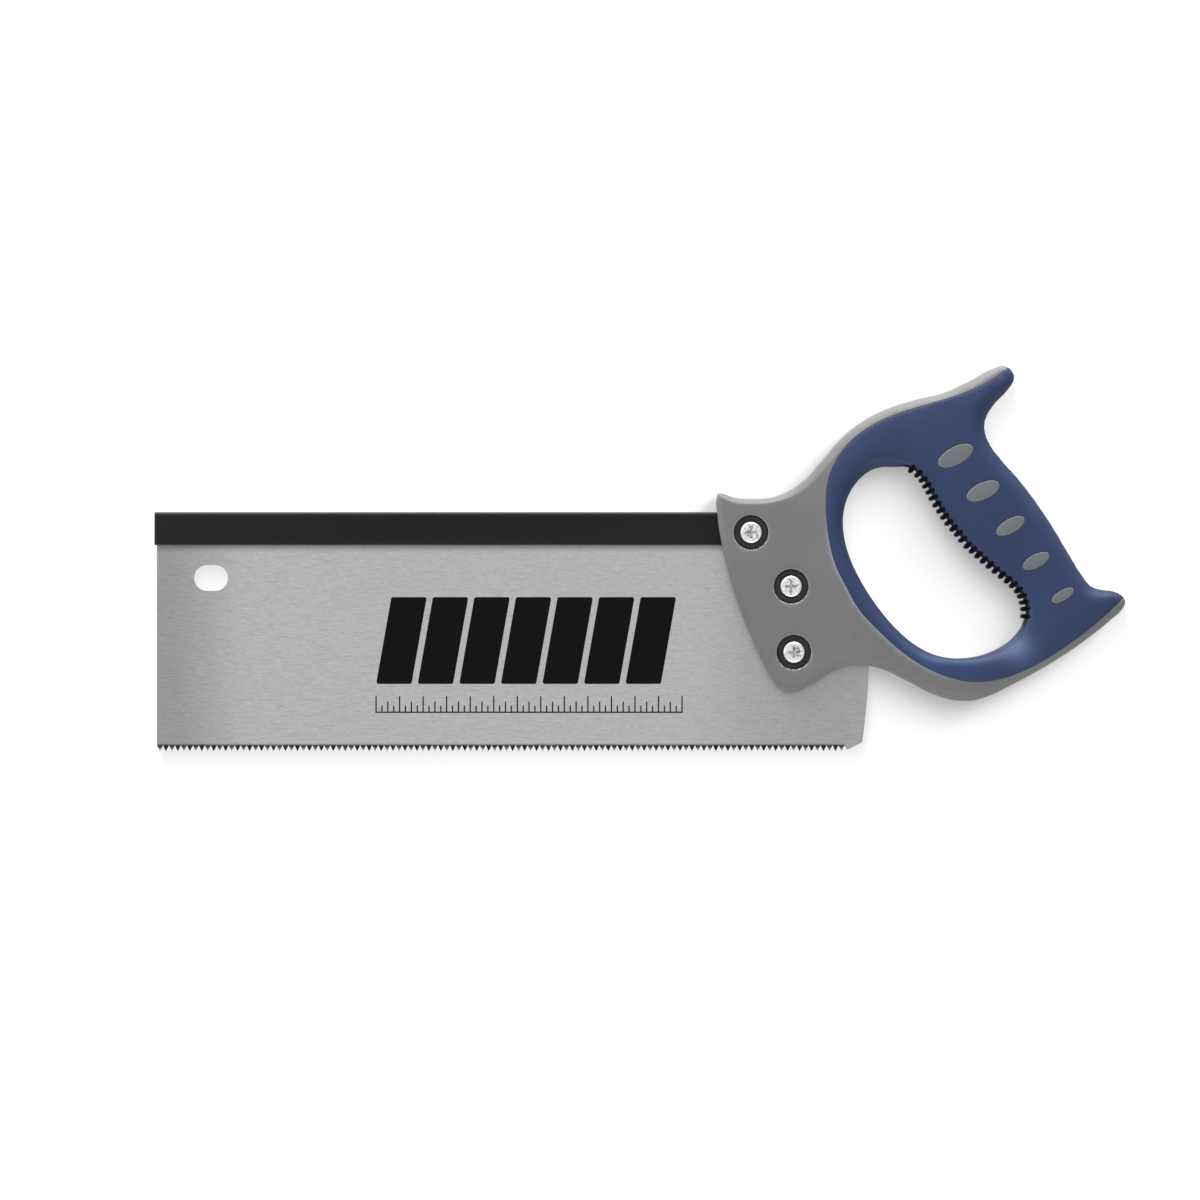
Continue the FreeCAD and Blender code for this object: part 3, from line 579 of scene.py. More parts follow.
def offset_rows(line, offsets, side, closed=True):
    """(points, room) rows beside a line: side 1 is left of its direction, -1 right."""
    if closed:
        way = np.roll(line, -1, 0) - np.roll(line, 1, 0)
    else:
        way = np.gradient(line, axis=0)
    way /= np.linalg.norm(way, axis=1)[:, None]
    normal = np.stack([-way[:, 1], way[:, 0]], 1) * side
    out = []
    before = np.zeros(len(line))
    for offset in offsets:
        offset = np.broadcast_to(offset, (len(line),))
        points = line + normal * offset[:, None]
        true = loop_distance(points, line) if closed else line_distance(points, line)
        kept = true > offset - 2e-3 - 0.002 * offset
        room = float(np.clip(0.55 * np.median(offset - before), 0.02, 0.30))
        out.append((points[kept], room))
        before = offset
    return out


def arc_offsets(radius, angles):
    return [radius * (1 - math.cos(math.radians(angle))) for angle in angles]


def hex_grid(low, high, pitch):
    """Staggered grid of points over the x-z extent of a box."""
    rows = []
    z, odd = low[2], 0
    while z < high[2]:
        x = np.arange(low[0] + (pitch / 2 if odd else 0), high[0], pitch)
        rows.append(np.stack([x, np.full(len(x), z)], 1))
        z += pitch * 0.866
        odd = 1 - odd
    return np.concatenate(rows)


# Rows following the outline, blended from the bevel's spacing to the round's.
bevel_rows = [0.07, 0.27, 0.58, 0.95]
bevel_rows += [outline_bevel + past for past in (-0.36, -0.14, 0.06, 0.28, 0.7)]
round_rows = arc_offsets(outline_round, (14, 26, 38, 50, 61, 70, 79, 90)) + [outline_round + 0.7]
edge_rows = offset_rows(outline, [(1 - outline_soft) * hard + outline_soft * soft
                                  for hard, soft in zip(bevel_rows, round_rows)],
                        turning(outline))


# ---------------------------------------------------------------- prism mesh maker
# A stack is the solid layers over one triangle, as (low level, high level) pairs.
# A level is a named surface: its y over each plane point, in mm.
def triangulated(loops, free, stacks_of):
    """Plane triangles with a stack: (points, triangles, stacks). Loops stay as edges."""
    verts, edges = [], []
    for loop in loops:
        base = len(verts)
        verts += [Vector((float(p[0]), float(p[1]))) for p in loop]
        edges += [(base + i, base + (i + 1) % len(loop)) for i in range(len(loop))]
    verts += [Vector((float(p[0]), float(p[1]))) for p in free]
    plane, _, tris, _, _, _ = delaunay_2d_cdt(verts, edges, [], 0, 1e-4)
    plane = np.array([(v[0], v[1]) for v in plane])
    tris = np.array([t for t in tris])
    stacks = stacks_of(plane[tris].mean(1))
    tris = [tri for tri, stack in zip(tris, stacks) if stack]
    stacks = [stack for stack in stacks if stack]
    used = sorted({int(i) for tri in tris for i in tri})
    renumbered = {old: new for new, old in enumerate(used)}
    plane = plane[used]

    def forward(tri):
        one, two, three = (plane[i] for i in tri)
        area = ((two[0] - one[0]) * (three[1] - one[1])
                - (two[1] - one[1]) * (three[0] - one[0]))
        return tri if area > 0 else (tri[0], tri[2], tri[1])

    return plane, [forward(tuple(renumbered[int(i)] for i in tri)) for tri in tris], stacks


def wall_runs(ids, one, two):
    """Runs of levels solid in just one of two stacks: [first, last, solid in one]."""
    rank = {k: r for r, k in enumerate(ids)}

    def solid(stack, r):
        return any(rank[low] <= r and rank[high] >= r + 1 for low, high in stack)

    runs = []
    for r in range(len(ids) - 1):
        in_one = solid(one, r)
        if in_one != solid(two, r):
            if runs and runs[-1][1] == r and runs[-1][2] == in_one:
                runs[-1][1] = r + 1
            else:
                runs.append([r, r + 1, in_one])
    return runs


def wall_faces(tris, stacks, levels, order, index):
    """Upright faces wherever the stacks on the two sides of an edge differ."""
    faces, sides = [], {}
    for n, tri in enumerate(tris):
        for a, b in zip(tri, tri[1:] + tri[:1]):
            sides.setdefault((min(a, b), max(a, b)), []).append((n, a < b))
    for (a, b), owners in sides.items():
        one = stacks[owners[0][0]]
        two = stacks[owners[1][0]] if len(owners) > 1 else ()
        if one == two:
            continue
        ids = sorted({k for pair in one + two for k in pair},
                     key=lambda k: levels[k][a] + levels[k][b])
        for first, last, in_one in wall_runs(ids, one, two):
            low, high = levels[ids[first]], levels[ids[last]]
            side_a, side_b = (
                [index[(i, k)] for k in order[i]
                 if low[i] - 1e-9 <= levels[k][i] <= high[i] + 1e-9] for i in (a, b))
            ring = side_a + side_b[::-1]
            if owners[0][1] != in_one:
                ring.reverse()
            faces.append(tuple(ring))
    return faces


def add_object(name, mesh):
    made = bpy.data.objects.new(name, mesh)
    bpy.context.scene.collection.objects.link(made)
    return made


def prism_mesh(name, loops, free, stacks_of, levels_of, fields_of, sharp_deg=38):
    """Closed mesh over a plane drawing, with point attributes.

    stacks_of(triangle centres) -> stacks; levels_of(points) -> {level: values};
    fields_of(points) -> {attribute: values}.
    """
    plane, tris, stacks = triangulated(loops, free, stacks_of)
    levels = levels_of(plane)
    columns = [set() for _ in plane]
    for tri, stack in zip(tris, stacks):
        for i in tri:
            for pair in stack:
                columns[i].update(pair)
    order = [sorted(column, key=lambda k, i=i: levels[k][i]) for i, column in enumerate(columns)]
    index, points = {}, []
    for i, ids in enumerate(order):
        for k in ids:
            index[(i, k)] = len(points)
            points.append((plane[i][0] * MM, levels[k][i] * MM, plane[i][1] * MM))
    faces = []
    for (a, b, c), stack in zip(tris, stacks):
        for low, high in stack:
            # counter-clockwise in (x, z) faces -y
            faces.append((index[(a, low)], index[(b, low)], index[(c, low)]))
            faces.append((index[(a, high)], index[(c, high)], index[(b, high)]))
    faces += wall_faces(tris, stacks, levels, order, index)
    mesh = bpy.data.meshes.new(name)
    mesh.from_pydata(points, [], faces)
    bm = bmesh.new()
    bm.from_mesh(mesh)
    bmesh.ops.triangulate(bm, faces=[f for f in bm.faces if len(f.verts) > 4],
                          ngon_method="BEAUTY")
    bmesh.ops.recalc_face_normals(bm, faces=bm.faces)
    bm.to_mesh(mesh)
    bm.free()
    column_of = [i for i, _ in index]
    for key, values in fields_of(plane).items():
        field = mesh.attributes.new(key, "FLOAT", "POINT")
        field.data.foreach_set("value", values[column_of].astype(np.float32))
    for poly in mesh.polygons:
        poly.use_smooth = True
    mesh.set_sharp_from_angle(angle=math.radians(sharp_deg))
    return add_object(name, mesh)


def both(low, high):
    """A layer on both sides of the mid-plane, or one right through it if low is None."""
    if low is None:
        return (("-" + high, "+" + high),)
    return (("-" + high, "-" + low), ("+" + low, "+" + high))


def two_sided(levels):
    out = {}
    for key, value in levels.items():
        out["+" + key] = value
        out["-" + key] = -value
    return out


# ---------------------------------------------------------------- the hard handle
SKIN_PROUD = 0.16                           # skin above the shell's face
BOSS_PROUD = 0.06                           # bosses above the skin
SEAT_ROUND, BORE_ROUND, BOSS_ROUND = 0.30, 0.5, 0.30
boss_loops = [ellipse(*oval, 0.0, 84) for oval in ovals]
hole_loops = [disc(x, z, HOLE_RADIUS, 48) for x, z in SCREWS]
bore_loops = [disc(x, z, BORE_RADIUS, 96) for x, z in SCREWS]


def skeleton_height(height):
    return np.minimum(9.5, height - 1.5)


def in_skeleton(points):
    return inside(points, skeleton_out) & ~inside(points, skeleton_in)


def core_stacks(centres):
    shell, skeleton = inside(centres, shell_loop), in_skeleton(centres)
    boss, hole, bore = [inside_any(centres, loops)
                        for loops in (boss_loops, hole_loops, bore_loops)]
    in_slot, in_pocket = inside(centres, slot_loop), inside(centres, pocket_loop)
    out = []
    for i in range(len(centres)):
        if hole[i]:
            out.append(())
        elif shell[i]:
            low = "pocket" if in_pocket[i] else ("slot" if in_slot[i] else None)
            out.append(both(low, "bore" if bore[i] else "face"))
        elif boss[i]:
            out.append(both(None, "boss"))
        elif skeleton[i]:
            out.append(both(None, "skeleton"))
        else:
            out.append(())
    return out


def core_levels(points):
    surface = Face(points)
    count = len(points)
    face = surface.height - dip(np.abs(surface.depth), SEAT_ROUND)
    face = face - np.where(inside_any(points, bore_loops), 0,
                           dip(nearest_loop(points, bore_loops), BORE_ROUND))
    boss_edge = nearest_loop(points, boss_loops)
    boss = surface.height + SKIN_PROUD + BOSS_PROUD - dip(boss_edge, BOSS_ROUND)
    # a soft crown across each boss, so that it catches the light like a lens
    boss = boss + 0.10 * (1 - halo(boss_edge, 1.6))
    return two_sided({
        "face": face, "skeleton": skeleton_height(surface.height), "boss": boss,
        "slot": np.full(count, SLOT), "pocket": np.full(count, POCKET),
        "bore": np.full(count, BORE_FLOOR),
    })


def core_fields(points):
    surface = Face(points)
    boss_edge = nearest_loop(points, boss_loops)
    # painted highlight along the seat's line, fading out to the right and upwards
    seat_fade = (smooth((196.0 + anchor[0] - points[:, 0]) / 20)
                 * smooth((104.0 + anchor[1] - points[:, 1]) / 24))
    return {"rim": halo(surface.edge, 0.8),
            "lip": halo(nearest_loop(points, bore_loops), 0.24),
            "boss": inside_any(points, boss_loops) | (boss_edge < 0.02),
            "boss_edge": halo(boss_edge, 0.25),
            "seat": halo(surface.depth + 0.22, 0.30) * seat_fade}


core_loops = ([shell_loop, skeleton_out, skeleton_in, slot_loop, pocket_loop]
              + boss_loops + hole_loops + bore_loops)
groups = [row for side in (1.0, -1.0)
          for row in offset_rows(seat, (0.07, 0.18, 0.30, 0.50), side, closed=False)]
groups += [(disc(x, z, BORE_RADIUS + extra, 96), 0.06)
           for x, z in SCREWS for extra in (0.09, 0.25, 0.5)]
groups += [(ellipse(*oval, extra, 72), 0.05)
           for oval in ovals for extra in (-0.06, -0.17, -0.31, -0.7, -1.3)]
groups += edge_rows + [(hex_grid(core_lo, core_hi, 1.45), 0.85)]
free = spaced(groups, core_loops)
free = free[inside(free, shell_loop) | in_skeleton(free)]
handle_shell = prism_mesh("handle_shell", core_loops, free, core_stacks, core_levels, core_fields)

# ------------------------------------------------------------------ the soft skin
RIB_TALL, RIB_FOOT = 2.2, 1.45              # rib into the opening, and its root in the skin
RIB_HALF = 9.22                             # half the length of a rib across the grip
RIB_SHOULDER = 0.45                         # where a rib's sides become straight
RIB_LIFT = 0.34                             # rise of the face over a rib's root
window_loops = [ellipse(*oval, BED_PLAY, 84) for oval in ovals]
opening_centre = np.array(opening_points).mean(0)


def rib_outline(start, end):
    """Round-ended rib standing on a span of the rib line, pointing into the opening."""
    centre = (start + end) / 2
    along = end - start
    size = np.linalg.norm(along)
    along = along / size
    normal = np.array([-along[1], along[0]])
    if np.dot(normal, opening_centre - centre) < 0:
        normal = -normal
    half = min(0.93, size * 0.33)
    root = 0.86 * half
    # right side from foot to crown: (across, up)
    side = [(root * math.sin(q), -RIB_FOOT + root - root * math.cos(q))
            for q in np.linspace(0, math.pi / 2, 6)]
    side += [(root + 0.01, -0.45), (root + 0.04, -0.15), (half - 0.02, 0.15),
             (half, RIB_SHOULDER)]
    side += [(half, RIB_SHOULDER + (RIB_TALL - half - RIB_SHOULDER) * k / 3) for k in (1, 2)]
    side += [(half * math.cos(q), RIB_TALL - half + half * math.sin(q))
             for q in np.linspace(0, math.pi / 2, 7)]
    line = side + [(-across, up) for across, up in reversed(side[1:-1])]
    return np.array([centre + along * across + normal * up for across, up in line])


rib_loops = [rib_outline(start, end) for start, end in zip(rib_line[:-1], rib_line[1:])]


def in_skin(points):
    return inside(points, bond_loop) & ~inside(points, opening)


def skin_stacks(centres):
    skin = in_skin(centres)
    bed = inside(centres, bed_out) & ~inside(centres, bed_in)
    window = inside_any(centres, window_loops)
    rib = inside(centres, opening) & inside_any(centres, rib_loops)
    out = []
    for i in range(len(centres)):
        if skin[i] and not window[i]:
            out.append(both("bed" if bed[i] else None, "face"))
        elif rib[i] and not skin[i]:
            out.append(both(None, "rib"))
        else:
            out.append(())
    return out


def rib_distance(points):
    """Distance inside the ribs' outlines, 0 elsewhere."""
    out = np.zeros(len(points))
    for loop in rib_loops:
        hit = inside(points, loop)
        if hit.any():
            out[hit] = np.maximum(out[hit], loop_distance(points[hit], loop))
    return out


def skin_levels(points):
    surface = Face(points)
    in_rib = rib_distance(points)
    proud = SKIN_PROUD * smooth(surface.edge / 1.5) * smooth((surface.depth + 0.05) / 0.5)
    lift = np.where(inside(points, opening), 0, RIB_LIFT * smooth(in_rib / 0.42))
    face = surface.height + proud + lift - dip(np.maximum(surface.depth, 0), 0.34)
    face = face - dip(nearest_loop(points, window_loops), 0.26)
    return two_sided({
        "face": face,
        "bed": skeleton_height(surface.height) + BED_PLAY,
        "rib": np.minimum(RIB_HALF, 12.42 - surface.ease) - dip(in_rib, 0.75),
    })


def skin_fields(points):
    surface = Face(points)
    # painted shade: the ribs painted near black, with a dark band along their foot on the face and a weaker share along
    # the opening's edge
    wall = halo(surface.hole, 0.36)
    beside_ribs = smooth((3.4 - line_distance(points, rib_line)) / 1.6)
    dark = beside_ribs * np.exp(-(surface.hole / 0.62) ** 4)
    on_rib = ((inside(points, opening) & (surface.hole > 0.02))
              | inside_any(points, rib_loops) | (nearest_loop(points, rib_loops) < 0.01))
    return {"ink": np.where(on_rib, 1.0, np.maximum(0.30 * wall, dark)),
            "boss_edge": halo(nearest_loop(points, window_loops), 0.35),
            "rim": halo(surface.edge, 0.32),
            # painted sheen on the lower loop, and a painted highlight patch beside the palm
            "worn": 0.55 * halo(far(points, spot(184.0, 38.0)), 21),
            "glow": halo(far(points, spot(216.0, 43.5)), 6.5),
            "wall": wall,
            "half": surface.height * MM}


skin_loops = [bond_loop, opening, bed_out, bed_in] + window_loops + rib_loops
groups = [row for side in (-1.0, 1.0)
          for row in offset_rows(bond_line, (0.06, 0.18, 0.34), side, closed=False)]
groups += [(ellipse(*oval, extra, 80), 0.05)
           for oval in ovals for extra in (0.10, 0.20, 0.32, 0.7)]
for loop in rib_loops:
    rows = offset_rows(loop, (0.08, 0.25, 0.50), turning(loop))
    rows += offset_rows(loop, (0.12,), -turning(loop))
    groups += [(row, min(room, 0.08)) for row, room in rows]
groups += offset_rows(opening, arc_offsets(open_round, (12, 23, 34, 45, 56, 67, 78, 90)),
                      -turning(opening))
groups += edge_rows + [(hex_grid(grip_lo, grip_hi, 1.35), 0.80)]
free = spaced(groups, skin_loops)
free = free[in_skin(free) | inside_any(free, rib_loops)]
grip_skin = prism_mesh("grip_skin", skin_loops, free, skin_stacks, skin_levels, skin_fields)


# ------------------------------------------------------ print on the plate's front
INK_NEAR, INK_FAR = -PLATE - 0.025, -PLATE + 0.005
PRINT_X0, PRINT_X1 = blade_lo[0] + 93.1, blade_lo[0] + 220.6
PRINT_Z0, PRINT_Z1 = 28.5, 65.4
BAR_COUNT, BAR_GAP, BAR_LEAN, BAR_ROUND = 7, 2.6, 6.5, 0.9
RULE_LENGTH, RULE_STEP = 130.0, 2.5
RULE_LOW, RULE_HIGH, RULE_PAST = 16.2, 16.75, 0.3       # base line, and its overrun
TICK_BASE, TICK_HALF = 16.70, 0.28
TICK_TALL = (6.6, 2.6, 4.3, 2.6)            # heights, repeating every four ticks


def flat_piece(name, loops):
    """Thin closed pieces of ink with the given outlines."""
    bm = bmesh.new()
    for loop in loops:
        if turning(loop) < 0:
            loop = loop[::-1]
        near = [bm.verts.new((p[0] * MM, INK_NEAR * MM, p[1] * MM)) for p in loop]
        rear = [bm.verts.new((p[0] * MM, INK_FAR * MM, p[1] * MM)) for p in loop]
        bm.faces.new(near)
        bm.faces.new(list(reversed(rear)))
        for i in range(len(loop)):
            j = (i + 1) % len(loop)
            bm.faces.new((near[j], near[i], rear[i], rear[j]))
    bmesh.ops.triangulate(bm, faces=[f for f in bm.faces if len(f.verts) > 4])
    bmesh.ops.recalc_face_normals(bm, faces=bm.faces)
    mesh = bpy.data.meshes.new(name)
    bm.to_mesh(mesh)
    bm.free()
    return add_object(name, mesh)


def rectangle(left, low, right, high):
    return np.array([(left, low), (right, low), (right, high), (left, high)])


bar_width = (PRINT_X1 - PRINT_X0 - BAR_LEAN - BAR_GAP * (BAR_COUNT - 1)) / BAR_COUNT
bars = []
for k in range(BAR_COUNT):
    x = PRINT_X0 + k * (bar_width + BAR_GAP)
    bars.append(rounded([(x, PRINT_Z0), (x + bar_width, PRINT_Z0),
                         (x + bar_width + BAR_LEAN, PRINT_Z1), (x + BAR_LEAN, PRINT_Z1)],
                        BAR_ROUND))
print_band = flat_piece("print_band", bars)

ticks = [rectangle(PRINT_X0 - RULE_PAST, RULE_LOW, PRINT_X0 + RULE_LENGTH + RULE_PAST, RULE_HIGH)]
for k in range(round(RULE_LENGTH / RULE_STEP) + 1):
    x = PRINT_X0 + RULE_STEP * k
    ticks.append(rectangle(x - TICK_HALF, TICK_BASE, x + TICK_HALF, TICK_BASE + TICK_TALL[k % 4]))
print_rule = flat_piece("print_rule", ticks)


# ---------------------------------------------------------------- material builder
def srgb(*channels):
    """Linear RGBA from 0-255 red, green and blue."""
    out = []
    for value in channels:
        value = value / 255.0
        out.append(value / 12.92 if value <= 0.04045 else ((value + 0.055) / 1.055) ** 2.4)
    return tuple(out) + (1.0,)


class Surface:
    """A principled material with shorthands for its nodes. Scales are per metre."""

    def __init__(self, name):
        self.material = bpy.data.materials.new(name)
        self.material.use_nodes = True
        self.tree = self.material.node_tree
        self.tree.nodes.clear()
        output = self.node("OutputMaterial")
        self.shader = self.node("BsdfPrincipled")
        self.plug(output.inputs[0], self.shader.outputs[0])
        self.place = self.node("TexCoord").outputs["Object"]
        self.axes = None
        self.normal = None

    def node(self, kind):
        return self.tree.nodes.new("ShaderNode" + kind)

    def plug(self, socket, value):
        if isinstance(value, bpy.types.NodeSocket):
            self.tree.links.new(value, socket)
        else:
            socket.default_value = value

    def set(self, **inputs):
        for key, value in inputs.items():
            self.plug(self.shader.inputs[key.replace("_", " ")], value)

    def axis(self, name):
        if self.axes is None:
            self.axes = self.node("SeparateXYZ")
            self.plug(self.axes.inputs[0], self.place)
        return self.axes.outputs[name]

    def noise(self, scale=1.0, detail=3.0, rough=0.55, stretch=None, distortion=0.0):
        place = self.place
        if stretch:
            mapping = self.node("Mapping")
            self.plug(mapping.inputs["Vector"], place)
            mapping.inputs["Scale"].default_value = stretch
            place = mapping.outputs[0]
        node = self.node("TexNoise")
        self.plug(node.inputs["Vector"], place)
        node.inputs["Scale"].default_value = scale
        node.inputs["Detail"].default_value = detail
        node.inputs["Roughness"].default_value = rough
        node.inputs["Distortion"].default_value = distortion
        return node.outputs[0]

    def cells(self, scale, feature="F1"):
        node = self.node("TexVoronoi")
        self.plug(node.inputs["Vector"], self.place)
        node.inputs["Scale"].default_value = scale
        node.feature = feature
        return node.outputs["Distance"]

    def math(self, operation, first, second=0.0, clamp=False):
        node = self.node("Math")
        node.operation = operation
        node.use_clamp = clamp
        self.plug(node.inputs[0], first)
        self.plug(node.inputs[1], second)
        return node.outputs[0]

    def scaled(self, value, factor, clamp=False):
        return self.math("MULTIPLY", value, factor, clamp)

    def span(self, value, over, to=(0.0, 1.0), kind="SMOOTHSTEP"):
        """The value's range over, mapped to another."""
        node = self.node("MapRange")
        node.interpolation_type = kind
        self.plug(node.inputs["Value"], value)
        node.inputs["From Min"].default_value, node.inputs["From Max"].default_value = over
        node.inputs["To Min"].default_value, node.inputs["To Max"].default_value = to
        return node.outputs[0]

    def mix(self, share, base, top, blend="MIX"):
        node = self.node("Mix")
        node.data_type = "RGBA"
        node.blend_type = blend
        self.plug(node.inputs[0], share)
        self.plug(node.inputs[6], base)
        self.plug(node.inputs[7], top)
        return node.outputs[2]

    def tint(self, tone, mask, weight, colour):
        """The tone with a weighted share of a colour where the mask is."""
        return self.mix(self.scaled(mask, weight), tone, colour)

    def field(self, name):
        node = self.node("Attribute")
        node.attribute_name = name
        return node.outputs["Fac"]

    def bump(self, height, strength, distance):
        node = self.node("Bump")
        node.inputs["Strength"].default_value = strength
        node.inputs["Distance"].default_value = distance
        self.plug(node.inputs["Height"], height)
        if self.normal is not None:
            self.plug(node.inputs["Normal"], self.normal)
        self.normal = node.outputs[0]
        self.plug(self.shader.inputs["Normal"], self.normal)

    def from_screw_axes(self):
        """Distance to the nearest screw axis."""
        best = None
        for x, z in SCREWS:
            off_x = self.math("SUBTRACT", self.axis("X"), x * MM)
            off_z = self.math("SUBTRACT", self.axis("Z"), z * MM)
            square = self.math("ADD", self.math("MULTIPLY", off_x, off_x),
                               self.math("MULTIPLY", off_z, off_z))
            away = self.math("SQRT", square)
            best = away if best is None else self.math("MINIMUM", best, away)
        return best


def mm_range(start, end):
    return start * MM, end * MM


# ----------------------------------------------------------------------- materials
TOOTH_PITCH = 2.54
HARD_TEETH = 115                            # hardened teeth, counted from the toe


def steel_plate():
    mat = Surface("brushed_steel_plate")
    fine = mat.noise(detail=4.0, rough=0.65, stretch=(330, 300, 2300))
    coarse = mat.noise(detail=3.0, rough=0.6, stretch=(95, 100, 900))
    cloud = mat.noise(scale=9.0, detail=4.0)
    speck = mat.noise(scale=420.0, detail=2.0, rough=0.5)
    grain = mat.math("ADD", mat.scaled(fine, factor=0.55), mat.scaled(coarse, factor=0.45))
    tone = mat.mix(mat.span(grain, over=(0.32, 0.68)), srgb(186, 186, 187), srgb(216, 216, 216))
    tone = mat.tint(tone, mat.span(cloud, over=(0.35, 0.7)), weight=0.30,
                    colour=srgb(190, 190, 191))
    tone = mat.tint(tone, mat.span(speck, over=(0.60, 0.78)), weight=0.22,
                    colour=srgb(226, 226, 226))
    scratch = mat.noise(detail=2.0, rough=0.6, stretch=(210, 300, 2100), distortion=0.6)
    tone = mat.tint(tone, mat.span(scratch, over=(0.60, 0.70)), weight=0.32,
                    colour=srgb(150, 150, 151))
    tone = mat.tint(tone, mat.span(scratch, over=(0.40, 0.31)), weight=0.30,
                    colour=srgb(236, 236, 236))
    # painted shade: the toe end painted darker, as if it reflected less of the room, and the part by the handle painted
    # darker as the handle's shadow
    toe_range = mm_range(blade_lo[0] + 4, blade_lo[0] + 44)
    toe = mat.span(mat.axis("X"), over=toe_range, to=(0.70, 1.0))
    heel = mat.span(mat.axis("X"), over=(0.066, 0.130), to=(1.0, 0.80))
    tone = mat.mix(1.0, tone, mat.math("MULTIPLY", toe, heel), blend="MULTIPLY")
    # painted shadow of the folded back: a dark band on the plate just below it
    back_shadow = mat.span(mat.axis("Z"), over=mm_range(spine_lo[2] - 3.6, spine_lo[2] - 0.1),
                     to=(0.0, 0.55))
    tone = mat.mix(back_shadow, tone, srgb(96, 96, 98))
    # hardened teeth: dark; every other one painted paler towards its tip, painted light for the teeth set away
    from_toe = mat.math("SUBTRACT", mat.axis("X"), blade_lo[0] * MM)
    pair = mat.math("FRACT", mat.math("DIVIDE", from_toe, 2 * TOOTH_PITCH * MM))
    second = mat.math("GREATER_THAN", pair, 0.5)
    last = (blade_lo[0] + HARD_TEETH * TOOTH_PITCH) * MM
    row = mat.span(mat.axis("X"), over=(last, last + 0.0003), to=(1.0, 0.0))
    low = mat.span(mat.axis("Z"), over=(0.0021, 0.0034), to=(1.0, 0.0))
    hard = mat.math("MULTIPLY", low, row)
    centred = mat.math("SUBTRACT", coarse, 0.5)
    ragged = mat.math("MULTIPLY", centred, mat.scaled(row, factor=0.5))
    hard_edge = mat.math("ADD", hard, ragged, clamp=True)
    set_tooth_light = mat.span(mat.axis("Z"), over=(0.0004, 0.0020), to=(1.0, 0.0))
    pale = mat.mix(set_tooth_light, srgb(48, 48, 50), srgb(176, 176, 178))
    tooth = mat.mix(second, pale, srgb(16, 16, 18))
    tone = mat.mix(hard_edge, tone, tooth)
    rough = mat.span(grain, over=(0.3, 0.7), to=(0.30, 0.44))
    rough = mat.math("ADD", rough, mat.scaled(hard, factor=0.12))
    metal = mat.math("SUBTRACT", 0.92, mat.scaled(hard, factor=0.35))
    mat.set(Base_Color=tone, Metallic=metal, Roughness=rough)
    mat.bump(grain, strength=0.16, distance=0.00006)
    mat.bump(speck, strength=0.05, distance=0.00004)
    return mat.material


def black_back():
    mat = Surface("satin_black_steel")
    orange_peel = mat.noise(scale=950.0, rough=0.6)
    cloud = mat.noise(scale=14.0, rough=0.5, stretch=(0.35, 1, 1))
    rub = mat.noise(detail=4.0, rough=0.7, stretch=(60, 300, 2200))
    tone = mat.mix(mat.span(cloud, over=(0.3, 0.7)), srgb(19, 19, 20), srgb(24, 24, 25))
    # painted highlight: a lighter line along the fold at the top edge; lighter also along the hem and the toe end
    fold = mat.span(mat.axis("Z"), over=mm_range(spine_hi[2] - 1.3, spine_hi[2] - 0.2))
    hem = mat.span(mat.axis("Z"), over=mm_range(spine_lo[2] + 0.1, spine_lo[2] + 0.7),
                   to=(1.0, 0.0))
    toe = mat.span(mat.axis("X"), over=mm_range(spine_lo[0], spine_lo[0] + 0.9), to=(1.0, 0.0))
    edges = mat.math("MAXIMUM", mat.math("MAXIMUM", fold, toe), hem)
    worn = mat.math("MULTIPLY", edges, mat.span(rub, over=(0.35, 0.7), to=(0.3, 1.0)))
    tone = mat.tint(tone, worn, weight=0.5, colour=srgb(80, 80, 82))
    mat.set(Base_Color=tone, Metallic=0.0, Specular_IOR_Level=0.17,
            Roughness=mat.span(orange_peel, over=(0.3, 0.7), to=(0.42, 0.56)))
    mat.bump(orange_peel, strength=0.18, distance=0.00005)
    mat.bump(rub, strength=0.05, distance=0.00003)
    return mat.material


